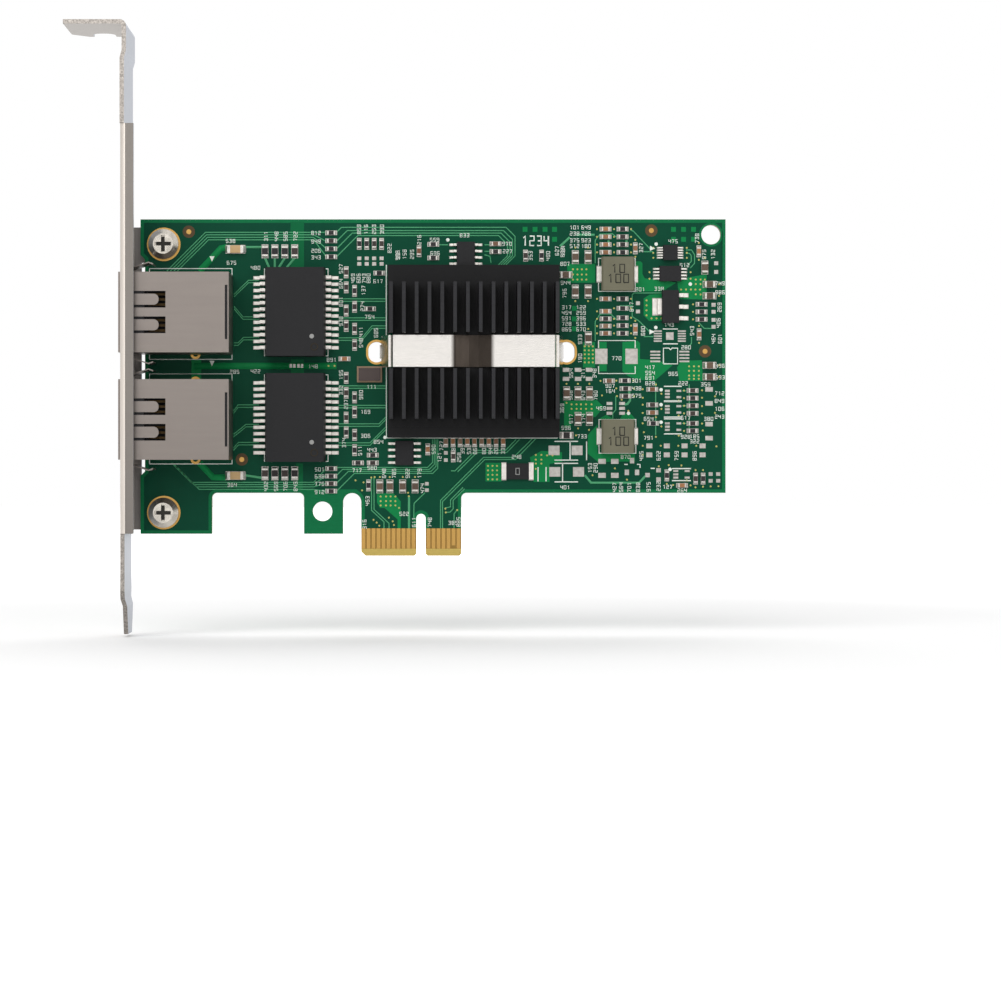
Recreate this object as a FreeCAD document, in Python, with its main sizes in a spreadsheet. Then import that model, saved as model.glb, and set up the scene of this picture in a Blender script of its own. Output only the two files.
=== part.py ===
import FreeCAD, Part
import Sketcher

import math
import os
from types import SimpleNamespace

from FreeCAD import Vector

# A two-port network interface card: a circuit board with edge contacts, a folded
# full-height bracket, two shielded jacks, two magnetics, and a controller under a
# finned heat sink held by a spring clip.
# X runs along the board away from the bracket, Z is up, and the component side
# faces -Y. The origin is the middle of the key notch, at the tip of the edge
# contacts and half way through the board.

SIZES = {
    # Board
    "board_thickness": 1.57,
    "board_left": 56.1,
    "board_right": 60.9,
    "board_top": 67.3,
    "board_bottom": 12.6,
    "port_step": 0.9,
    "port_step_top": 59.3,
    "port_step_bottom": 16.9,
    "lower_tab_bottom": 4.4,
    "left_tab_right": 41.8,
    "wide_notch": 18.4,
    "notch_radius": 1.0,
    "retention_slot_centre": 13.77,
    "retention_slot_width": 3.65,
    "retention_slot_top": 12.56,
    "retention_hole_x": 19.7,
    "retention_hole_z": 8.9,
    "retention_hole_radius": 1.96,
    "corner_hole_x": 58.0,
    "corner_hole_z": 64.25,
    "corner_hole_radius": 1.95,

    # Edge contacts
    "contact_block_right": 8.05,
    "contact_fillet": 1.07,
    "key_width": 1.86,
    "key_top": 8.4,
    "bevel_height": 1.3,
    "bevel_depth": 0.42,
    "first_corner_cut": 0.85,
    "contact_corner_cut": 0.4,
    "finger_pitch": 1.0,
    "finger_width": 0.7,
    "finger_bottom": 1.45,
    "short_finger_bottom": 2.1,
    "finger_top": 5.5,
    "finger_plating": 0.05,
    "first_finger_offset": 1.5,

    # Bracket: one folded sheet
    "sheet": 0.86,
    "bend_inside": 0.4,
    "plate_outer_x": 58.7,
    "plate_width": 18.42,
    "bracket_top": 105.0,
    "bracket_tip": 15.0,
    "joggle_low": 97.6,
    "joggle_high": 99.0,
    "joggle_shift": 0.4,
    "tab_length": 11.43,
    "screw_notch_width": 4.42,
    "screw_notch_centre": 5.0,
    "screw_notch_depth": 4.6,
    "tab_corner_cut": 3.2,
    "flange_length": 2.7,
    "front_flange_bottom": 4.8,
    "front_flange_top": 84.8,
    "rear_flange_bottom": 5.2,
    "rear_flange_top": 65.8,
    "ear_length": 7.95,
    "ear_height": 7.1,
    "ear_radius": 1.0,
    "tongue_width": 14.4,
    "tongue_tip_width": 7.6,
    "tongue_taper_top": 6.5,
    "tongue_joggle_low": 9.4,
    "tongue_joggle_high": 8.0,
    "dimple_bottom": 5.5,
    "dimple_top": 0.5,
    "dimple_width": 1.2,
    "dimple_depth": 0.35,
    "port_side_room": 1.3,
    "port_top_room": 0.35,
    "port_foot_drop": 0.29,

    # Bracket screws and their threaded collars
    "screw_inset": 3.4,
    "upper_screw_z": 62.3,
    "lower_screw_z": 8.65,
    "screw_radius": 1.4,
    "screw_hole_radius": 1.6,
    "screw_head_radius": 3.0,
    "screw_head_height": 2.0,
    "screw_crown": 1.0,
    "screw_tip": 3.3,
    "cross_length": 3.4,
    "cross_width": 0.75,
    "cross_depth": 1.2,
    "collar_radius": 2.15,
    "collar_height": 1.5,

    # Jacks
    "jack_middle_z": 37.6,
    "jack_width": 15.76,
    "jack_gap": 5.24,
    "jack_height": 13.4,
    "jack_stand_out": 0.5,
    "shield_wall": 0.25,
    "shield_lift": 0.3,
    "housing_setback": 0.3,
    "plug_width": 11.9,
    "plug_low": 4.3,
    "plug_high": 11.3,
    "plug_depth": 14.3,
    "latch_width": 6.2,
    "latch_low": 2.2,
    "window_offset": 2.5,
    "window_width": 3.25,
    "window_start": 0.9,
    "window_end": 9.25,
    "spring_width": 2.16,
    "spring_end": 7.9,
    "leaf_thickness": 0.25,
    "leaf_width": 6.5,
    "leaf_rise": 0.95,
    "leaf_spread": 2.2,
    "leaf_root": 0.6,
    "leaf_end": 5.6,
    "leaf_kink": 0.9,
    "rear_slit_height": 10.6,
    "rear_slit_width": 0.5,
    "shield_leg": 14.1,
    "shield_leg_width": 1.3,
    "leg_reach": 1.2,
    "peg": 11.14,
    "peg_offset": 5.65,
    "peg_radius": 1.6,
    "peg_reach": 0.6,
    "pin_side": 0.5,
    "rear_pin": 19.9,
    "pin_row_gap": 2.54,
    "rear_room": 1.7,
    "pin_pitch": 1.27,
    "wire_pitch": 1.016,
    "wire_width": 0.45,
    "wire_thickness": 0.3,
    "wire_front": 6.0,
    "wire_back": 13.3,
    "wire_drop": 3.2,
    "recess_floor": 11.9,
    "recess_front": 5.0,
    "recess_width": 10.6,
    "comb_width": 8.4,
    "pin_well_room": 0.7,
    "lamp_offset": 5.4,
    "lamp_width": 3.0,
    "lamp_low": 0.9,
    "lamp_high": 3.6,
    "lamp_length": 7.4,
    "lamp_pin": 7.1,
    "lamp_pin_inner": 4.2,
    "lamp_pin_outer": 6.64,

    # Magnetics
    "magnetics_x": 25.0,
    "magnetics_shift": 0.5,
    "magnetics_width": 12.1,
    "magnetics_height": 17.6,
    "magnetics_lift": 0.3,
    "magnetics_rise": 5.6,
    "magnetics_draft": 0.35,
    "magnetics_span": 16.7,
    "magnetics_lead_pitch": 1.27,
    "magnetics_lead_width": 0.6,

    # Controller, heat sink and clip
    "controller_x": 10.45,
    "controller_z": 40.75,
    "controller_side": 25.0,
    "controller_rise": 2.2,
    "thermal_pad_thickness": 0.2,
    "thermal_pad_side": 22.0,
    "sink_side_margin": 0.35,
    "sink_end_band": 3.7,
    "sink_base": 2.6,
    "sink_step": 0.25,
    "sink_step_length": 2.2,
    "fin_height": 6.5,
    "fin_thickness": 0.72,
    "fin_span": 32.68,
    "fin_length": 26.9,
    "clip_channel": 7.1,
    "clip_notch": 0.9,
    "clip_width": 6.3,
    "clip_thickness": 0.5,
    "clip_flat_height": 6.5,
    "clip_side_inset": 0.15,
    "clip_shoulder": 0.7,
    "clip_shoulder_inset": 1.1,
    "clip_dip_top": 7.5,
    "clip_dip_bottom": 2.3,
    "clip_leg_height": 1.0,
    "clip_leg_top": 2.0,
    "clip_hook_length": 1.5,
    "clip_leg_width": 2.7,
    "clip_leg_gap": 0.5,
    "clip_hole_room": 1.95,
    "clip_hole_shift": 0.35,
    "clip_hole_width": 3.3,
    "clip_hole_height": 4.1,

    # Small chips
    "lead_thickness": 0.2,
    "crystal_x": 10.3,
    "crystal_z": 36.3,
    "crystal_width": 5.0,
    "crystal_height": 3.2,
    "crystal_base_rise": 0.6,
    "crystal_lid_rise": 0.35,
    "crystal_lid_inset": 0.35,
    "memory_width": 3.7,
    "memory_height": 4.85,
    "memory_rise": 1.45,
    "memory_span": 6.2,
    "memory_lead_width": 0.42,
    "memory_lead_pitch": 1.27,
    "regulator_x": 49.8,
    "regulator_z": 60.6,
    "regulator_side": 3.0,
    "regulator_span": 4.9,
    "regulator_lead_pitch": 0.5,
    "regulator_lead_width": 0.25,
    "driver_z": 56.4,
    "driver_width": 4.4,
    "driver_height": 3.05,
    "driver_span": 6.4,
    "driver_lead_pitch": 0.65,
    "driver_lead_width": 0.3,
    "thin_chip_rise": 0.95,
    "chip_lift": 0.1,
    "chip_draft": 0.12,
    "transistor_z": 49.8,
    "transistor_width": 3.5,
    "transistor_height": 6.5,
    "transistor_rise": 1.6,
    "transistor_span": 7.0,
    "transistor_lead_pitch": 2.3,
    "transistor_lead_width": 0.75,
    "transistor_tab_height": 3.1,

    # Inductors
    "inductor_x": 39.25,
    "upper_inductor_z": 56.3,
    "lower_inductor_z": 23.9,
    "inductor_width": 6.5,
    "inductor_height": 6.7,
    "inductor_rise": 2.8,
    "inductor_bevel": 0.3,
    "terminal_height": 3.0,
    "terminal_reach": 0.85,
    "terminal_thickness": 0.2,

    # Sense resistor
    "sense_x": 19.3,
    "sense_z": 16.9,
    "sense_width": 6.35,
    "sense_height": 3.2,
    "sense_rise": 0.6,
    "sense_terminal": 0.9,

    # Chip capacitors and resistors: long side, short side, rise
    "large_length": 2.0,
    "large_width": 1.25,
    "large_rise": 0.9,
    "large_cap": 0.45,
    "film_length": 3.2,
    "film_width": 1.6,
    "film_rise": 1.0,
    "small_length": 1.6,
    "small_width": 0.8,
    "small_rise": 0.5,
    "tiny_length": 1.0,
    "tiny_width": 0.5,
    "tiny_rise": 0.4,

    # Labels on the solder side
    "label_thickness": 0.1,
    "label_top": 65.9,
    "large_label_left": 5.1,
    "large_label_width": 51.0,
    "large_label_height": 13.0,
    "small_label_gap": 0.6,
    "small_label_width": 31.8,
    "small_label_height": 6.2,
    "label_radius": 1.0,
}


class Size:
    """A length together with the sheet expression that gives it."""

    def __init__(self, number, text):
        self.number = number
        self.text = text

    def __float__(self):
        return self.number

    def __add__(self, other):
        other = as_size(other)
        return Size(self.number + other.number, f"({self.text} + {other.text})")

    def __radd__(self, other):
        return as_size(other) + self

    def __sub__(self, other):
        other = as_size(other)
        return Size(self.number - other.number, f"({self.text} - {other.text})")

    def __rsub__(self, other):
        return as_size(other) - self

    def __mul__(self, other):
        other = as_size(other)
        return Size(self.number * other.number, f"({self.text} * {other.text})")

    def __rmul__(self, other):
        return as_size(other) * self

    def __truediv__(self, other):
        other = as_size(other)
        return Size(self.number / other.number, f"({self.text} / {other.text})")

    def __neg__(self):
        return Size(-self.number, f"(-1 * {self.text})")


def as_size(thing):
    if isinstance(thing, Size):
        return thing
    return Size(float(thing), f"({float(thing)!r})")


doc = FreeCAD.newDocument("NetworkInterfaceCard")
sheet = doc.addObject("Spreadsheet::Sheet", "Sizes")
for row, (alias, number) in enumerate(SIZES.items(), start=1):
    sheet.set(f"A{row}", alias)
    sheet.set(f"B{row}", str(number))
    sheet.setAlias(f"B{row}", alias)
doc.recompute()
s = SimpleNamespace(**{name: Size(float(sheet.get(name)), f"Sizes.{name}") for name in SIZES})

nodes = []
ZERO = as_size(0)
FULL_TURN = 360


# Helpers that bind an object's sizes to the sheet

def bind(thing, path, size):
    thing.setExpression(path, as_size(size).text)


def place(thing, x=ZERO, y=ZERO, z=ZERO):
    for axis, size in zip("xyz", (x, y, z)):
        bind(thing, f"Placement.Base.{axis}", size)
    return thing


def keep(thing, label):
    thing.Label = label
    nodes.append(thing)
    return thing


def new_body(name):
    return doc.addObject("PartDesign::Body", name)


def block(name, low, sides):
    """A box from its low corner and its sides along X, Y and Z."""
    box = doc.addObject("Part::Box", name)
    for side, size in zip(("Length", "Width", "Height"), sides):
        bind(box, side, size)
    return place(box, *low)


def group(name, pieces):
    compound = doc.addObject("Part::Compound", name)
    compound.Links = pieces
    return compound


def join(name, pieces):
    fusion = doc.addObject("Part::MultiFuse", name)
    fusion.Shapes = pieces
    return fusion


def cut_away(name, base, tools):
    cut = doc.addObject("Part::Cut", name)
    cut.Base = base
    cut.Tool = tools[0] if len(tools) == 1 else group(f"{name}_tools", tools)
    return cut


# Sketches

def new_sketch(body, name, role, offset=None):
    sketch = body.newObject("Sketcher::SketchObject", name)
    plane = [item for item in body.Origin.OriginFeatures if item.Role == role]
    sketch.AttachmentSupport = (plane[0], [""])
    sketch.MapMode = "FlatFace"
    if offset is not None:
        bind(sketch, "AttachmentOffset.Base.z", offset)
    return sketch


def pin(sketch, kind, geometry, point, size):
    """Hold a point's distance from the sketch origin to a size of the sheet."""
    index = sketch.addConstraint(Sketcher.Constraint(kind, -1, 1, geometry, point, float(size)))
    bind(sketch, f"Constraints[{index}]", size)


def side_kind(start, end):
    if abs(end.x - start.x) < 1e-6:
        return "Vertical"
    if abs(end.y - start.y) < 1e-6:
        return "Horizontal"
    return "Slanted"


def draw_loop(sketch, corners):
    """A closed line through corners (x, y) or (x, y, radius) at square turns."""
    count = len(corners)
    corners = [(as_size(c[0]), as_size(c[1]), as_size(c[2]) if len(c) > 2 else None) for c in corners]
    points = [Vector(float(x), float(y), 0) for x, y, _ in corners]
    along = [(points[(i + 1) % count] - points[i]).normalize() for i in range(count)]
    trims = [float(radius) if radius else 0.0 for _, _, radius in corners]
    sides = []
    kinds = []
    for i in range(count):
        after = (i + 1) % count
        start = points[i] + along[i] * trims[i]
        end = points[after] - along[i] * trims[after]
        sides.append(sketch.addGeometry(Part.LineSegment(start, end), False))
        kinds.append(side_kind(points[i], points[after]))
    for i, (x, y, radius) in enumerate(corners):
        before = i - 1
        if radius:
            arrival = along[before]
            centre = points[i] + (along[i] - arrival) * trims[i]
            left_turn = arrival.cross(along[i]).z > 0
            spoke = points[i] - arrival * trims[i] - centre
            other = points[i] + along[i] * trims[i] - centre
            first, last = (spoke, other) if left_turn else (other, spoke)
            begin = math.atan2(first.y, first.x)
            finish = math.atan2(last.y, last.x)
            if finish < begin:
                finish += 2 * math.pi
            circle = Part.Circle(centre, Vector(0, 0, 1), trims[i])
            arc = sketch.addGeometry(Part.ArcOfCircle(circle, begin, finish), False)
            into, out_of = (1, 2) if left_turn else (2, 1)
            sketch.addConstraint(Sketcher.Constraint("Tangent", sides[before], 2, arc, into))
            sketch.addConstraint(Sketcher.Constraint("Tangent", sides[i], 1, arc, out_of))
            index = sketch.addConstraint(Sketcher.Constraint("Radius", arc, trims[i]))
            bind(sketch, f"Constraints[{index}]", radius)
        else:
            sketch.addConstraint(Sketcher.Constraint("Coincident", sides[before], 2, sides[i], 1))
            meeting = (kinds[before], kinds[i])
            if "Vertical" not in meeting:
                pin(sketch, "DistanceX", sides[i], 1, x)
            if "Horizontal" not in meeting:
                pin(sketch, "DistanceY", sides[i], 1, y)
    for i, (x, y, _) in enumerate(corners):
        if kinds[i] == "Vertical":
            sketch.addConstraint(Sketcher.Constraint("Vertical", sides[i]))
            pin(sketch, "DistanceX", sides[i], 1, x)
        elif kinds[i] == "Horizontal":
            sketch.addConstraint(Sketcher.Constraint("Horizontal", sides[i]))
            pin(sketch, "DistanceY", sides[i], 1, y)


def outline(body, name, role, corners, offset=None):
    sketch = new_sketch(body, name, role, offset)
    draw_loop(sketch, corners)
    return sketch


def draw_circle(sketch, x, y, radius):
    circle = Part.Circle(Vector(float(x), float(y), 0), Vector(0, 0, 1), float(radius))
    ring = sketch.addGeometry(circle, False)
    pin(sketch, "DistanceX", ring, 3, x)
    pin(sketch, "DistanceY", ring, 3, y)
    index = sketch.addConstraint(Sketcher.Constraint("Radius", ring, float(radius)))
    bind(sketch, f"Constraints[{index}]", radius)


def draw_slot(sketch, x, low, high, width, round_low=True):
    """An upright slot with a half-round top, and a half-round or a square foot."""
    radius = as_size(width) / 2
    left = as_size(x) - radius
    right = as_size(x) + radius
    top_centre = as_size(high) - radius
    foot = as_size(low) + radius if round_low else as_size(low)
    line = Part.LineSegment
    corners = [Vector(float(a), float(b), 0) for a, b in
               ((left, top_centre), (left, foot), (right, foot), (right, top_centre))]
    down = sketch.addGeometry(line(corners[0], corners[1]), False)
    up = sketch.addGeometry(line(corners[2], corners[3]), False)
    middle = Vector(float(x), float(top_centre), 0)
    cap = sketch.addGeometry(
        Part.ArcOfCircle(Part.Circle(middle, Vector(0, 0, 1), float(radius)), 0, math.pi), False)
    sketch.addConstraint(Sketcher.Constraint("Tangent", up, 2, cap, 1))
    sketch.addConstraint(Sketcher.Constraint("Tangent", down, 1, cap, 2))
    if round_low:
        middle = Vector(float(x), float(foot), 0)
        base = sketch.addGeometry(
            Part.ArcOfCircle(Part.Circle(middle, Vector(0, 0, 1), float(radius)), math.pi, 2 * math.pi),
            False)
        sketch.addConstraint(Sketcher.Constraint("Tangent", down, 2, base, 1))
        sketch.addConstraint(Sketcher.Constraint("Tangent", up, 1, base, 2))
        pin(sketch, "DistanceY", base, 3, foot)
    else:
        base = sketch.addGeometry(line(corners[1], corners[2]), False)
        sketch.addConstraint(Sketcher.Constraint("Coincident", down, 2, base, 1))
        sketch.addConstraint(Sketcher.Constraint("Coincident", base, 2, up, 1))
        sketch.addConstraint(Sketcher.Constraint("Horizontal", base))
        pin(sketch, "DistanceY", base, 1, foot)
    sketch.addConstraint(Sketcher.Constraint("Vertical", down))
    sketch.addConstraint(Sketcher.Constraint("Vertical", up))
    pin(sketch, "DistanceX", down, 1, left)
    pin(sketch, "DistanceX", up, 1, right)
    pin(sketch, "DistanceY", cap, 3, top_centre)


def rectangle(x_low, x_high, y_low, y_high, radius=None):
    corners = ((x_low, y_low), (x_high, y_low), (x_high, y_high), (x_low, y_high))
    if radius is None:
        return list(corners)
    return [(x, y, radius) for x, y in corners]


# Solid features of a body

def pad(body, sketch, length, reverse=False, symmetric=False):
    feature = body.newObject("PartDesign::Pad", f"{sketch.Name}_pad")
    feature.Profile = sketch
    feature.Reversed = reverse
    if symmetric:
        feature.SideType = "Symmetric"
    bind(feature, "Length", length)
    doc.recompute()
    return feature


def pocket(body, sketch, length=None, reverse=False):
    """Cut a sketch to a length, or right through both ways, and check that it cut."""
    before = body.Shape.Volume
    feature = body.newObject("PartDesign::Pocket", f"{sketch.Name}_pocket")
    feature.Profile = sketch
    feature.Reversed = reverse
    if length is None:
        feature.Type = "ThroughAll"
        feature.SideType = "Symmetric"
    else:
        bind(feature, "Length", length)
    doc.recompute()
    if not body.Shape.Volume < before:
        raise RuntimeError(f"{sketch.Name} cuts nothing")
    return feature


def edges_along(shape, direction, spots):
    """Names of the edges along a direction that pass within reach of any spot."""
    reach = 0.01
    names = []
    for number, edge in enumerate(shape.Edges, start=1):
        if len(edge.Vertexes) != 2 or edge.Curve.TypeId != "Part::GeomLine":
            continue
        if edge.Curve.Direction.cross(direction).Length > 1e-6:
            continue
        for spot in spots:
            offset = spot - edge.CenterOfMass
            if offset.cross(direction).Length < reach:
                names.append(f"Edge{number}")
    return names


def chamfer(body, base, spots, direction, size):
    names = edges_along(base.Shape, direction, spots)
    if len(names) < len(spots):
        raise RuntimeError(f"{body.Name}: an edge to chamfer is missing")
    feature = body.newObject("PartDesign::Chamfer", f"{body.Name}_chamfer")
    feature.Base = (base, names)
    bind(feature, "Size", size)
    doc.recompute()
    return feature


# Places on the two faces of the board

half_board = s.board_thickness / 2


def above(height):
    """The y of a height over the component side."""
    return -(half_board + as_size(height))


def behind(height):
    """The y of a height over the solder side."""
    return half_board + as_size(height)


def on_front(name, x, z, sides, lift=ZERO):
    """A box on the component side, from its middle and its sides along X and Z and its rise."""
    width, height, rise = (as_size(side) for side in sides)
    low = (as_size(x) - width / 2, above(lift + rise), as_size(z) - height / 2)
    return block(name, low, (width, rise, height))


def on_back(name, x, z, sides):
    width, height, rise = (as_size(side) for side in sides)
    low = (as_size(x) - width / 2, behind(0), as_size(z) - height / 2)
    return block(name, low, (width, rise, height))


def row(start, step, count):
    return [start + step * i for i in range(count)]


# Circuit board

board_left = -s.board_left
port_edge = board_left + s.port_step
left_tab_right = -s.left_tab_right
retention_tab_left = left_tab_right + s.wide_notch
retention_centre = -s.retention_slot_centre
sink_width = s.fin_span + s.fin_thickness + 2 * s.sink_side_margin
sink_length = s.fin_length + 2 * s.sink_end_band
clip_hole_centre = s.controller_x - s.clip_hole_shift
clip_hole_offset = sink_width / 2 + s.clip_hole_room
clip_holes = (clip_hole_centre - clip_hole_offset, clip_hole_centre + clip_hole_offset)

plate_outer = -s.plate_outer_x
plate_inner = plate_outer + s.sheet
flange_end = plate_outer + s.flange_length
ear_end = flange_end + s.ear_length
screw_x = ear_end - s.screw_inset
screw_levels = {"upper": s.upper_screw_z, "lower": s.lower_screw_z}

jack_front = plate_outer - s.jack_stand_out
jack_length = s.rear_pin + s.rear_room
jack_rear = jack_front + jack_length
jack_pitch = s.jack_width + s.jack_gap
jack_levels = {"upper": s.jack_middle_z + jack_pitch / 2, "lower": s.jack_middle_z - jack_pitch / 2}
front_pin = s.rear_pin - s.pin_row_gap
well_front = jack_front + front_pin - s.pin_well_room
well_rear = jack_front + s.rear_pin + s.pin_well_room
PINS_PER_ROW = 4
SIDES = (-1, 1)


def pin_offsets():
    """The z of each jack pin from the jack's middle, with the x of its row."""
    first = s.pin_pitch * (PINS_PER_ROW - 0.5)
    for i in range(2 * PINS_PER_ROW):
        yield first - s.pin_pitch * i, jack_front + (front_pin if i % 2 == 0 else s.rear_pin)


def pin_places(level):
    """The middles of all square holes of one jack, with their widths along X."""
    for offset, x in pin_offsets():
        yield x, level + offset, s.pin_side
    for side in SIDES:
        for offset in (s.lamp_pin_inner, s.lamp_pin_outer):
            yield jack_front + s.lamp_pin, level + side * offset, s.pin_side
        edge = s.jack_width / 2 - s.shield_wall / 2
        yield jack_front + s.shield_leg, level + side * edge, s.shield_leg_width


def build_board():
    body = new_body("circuit_board")
    round_in = s.notch_radius
    corners = [
        (board_left, s.lower_tab_bottom),
        (left_tab_right, s.lower_tab_bottom),
        (left_tab_right, s.board_bottom, round_in),
        (retention_tab_left, s.board_bottom, round_in),
        (retention_tab_left, s.lower_tab_bottom),
        (retention_centre, s.lower_tab_bottom),
        (retention_centre, ZERO),
        (s.contact_block_right, ZERO),
        (s.contact_block_right, s.board_bottom, s.contact_fillet),
        (s.board_right, s.board_bottom),
        (s.board_right, s.board_top),
        (board_left, s.board_top),
        (board_left, s.port_step_top + s.port_step),
        (port_edge, s.port_step_top),
        (port_edge, s.port_step_bottom),
        (board_left, s.port_step_bottom - s.port_step),
    ]
    pad(body, outline(body, "board_outline", "XZ_Plane", corners), s.board_thickness, symmetric=True)

    slots = new_sketch(body, "board_slots", "XZ_Plane")
    below = -s.key_width
    draw_slot(slots, retention_centre, below, s.retention_slot_top, s.retention_slot_width, False)
    draw_slot(slots, ZERO, below, s.key_top, s.key_width, False)
    pocket(body, slots)

    for side in SIDES:
        face = half_board * side
        corners = [
            (face, s.bevel_height),
            (face, below),
            (face - s.bevel_depth * side, below),
            (face - s.bevel_depth * side, ZERO),
        ]
        bevel = outline(body, f"bevel_{'front' if side < 0 else 'rear'}", "YZ_Plane", corners)
        pocket(body, bevel)

    holes = new_sketch(body, "board_holes", "XZ_Plane")
    draw_circle(holes, -s.retention_hole_x, s.retention_hole_z, s.retention_hole_radius)
    draw_circle(holes, s.corner_hole_x, s.corner_hole_z, s.corner_hole_radius)
    for level in screw_levels.values():
        draw_circle(holes, screw_x, level, s.screw_hole_radius)
    for level in jack_levels.values():
        for side in SIDES:
            draw_circle(holes, jack_front + s.peg, level + side * s.peg_offset, s.peg_radius)
    pocket(body, holes)

    clip_slots = new_sketch(body, "clip_holes", "XZ_Plane")
    reach = s.clip_hole_height / 2
    for x in clip_holes:
        draw_slot(clip_slots, x, s.controller_z - reach, s.controller_z + reach, s.clip_hole_width)
    pocket(body, clip_slots)

    pins = new_sketch(body, "pin_holes", "XZ_Plane")
    for level in jack_levels.values():
        for x, z, width in pin_places(level):
            tall = s.shield_wall if width is s.shield_leg_width else s.pin_side
            draw_loop(pins, rectangle(x - width / 2, x + width / 2, z - tall / 2, z + tall / 2))
    last = pocket(body, pins)

    key = s.key_width / 2
    block_left = retention_centre + s.retention_slot_width / 2
    first = [Vector(float(block_left), 0, 0)]
    others = [Vector(float(x), 0, 0) for x in (-key, key, s.contact_block_right)]
    across = Vector(0, 1, 0)
    last = chamfer(body, last, first, across, s.first_corner_cut)
    chamfer(body, last, others, across, s.contact_corner_cut)
    keep(body, "circuit_board")


def build_fingers():
    """Gold contacts on both faces, eleven left of the key and seven right of it."""
    left_count = 11
    right_count = 7
    short_one = 5
    places = [(-s.first_finger_offset - s.finger_pitch * i, False) for i in range(left_count)]
    places += [(s.first_finger_offset + s.finger_pitch * i, i == short_one) for i in range(right_count)]
    for side in ("component", "solder"):
        fingers = []
        for i, (x, is_short) in enumerate(places):
            low = s.short_finger_bottom if is_short and side == "component" else s.finger_bottom
            y = above(s.finger_plating) if side == "component" else behind(0)
            corner = (x - s.finger_width / 2, y, low)
            sides = (s.finger_width, s.finger_plating, s.finger_top - low)
            fingers.append(block(f"{side}_finger_{i}", corner, sides))
        keep(group(f"edge_contacts_{side}_side", fingers), f"edge_contacts_{side}_side")


# Bracket

rear_face = half_board + s.sheet
front_face = rear_face - s.plate_width
bend_outside = s.bend_inside + s.sheet


def port_span():
    """The y of the port openings' top and foot edges."""
    return above(s.jack_height + s.shield_lift + s.port_top_room), above(-s.port_foot_drop)


def flange_section(edge, inward):
    """Section of one flange: the bend at the plate's edge and the leg along the board."""
    start = edge + inward * (bend_outside + 0.05)
    return [
        (plate_outer, start),
        (plate_outer, edge, bend_outside),
        (flange_end, edge),
        (flange_end, edge + inward * s.sheet),
        (plate_inner, edge + inward * s.sheet, s.bend_inside),
        (plate_inner, start),
    ]


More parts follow.
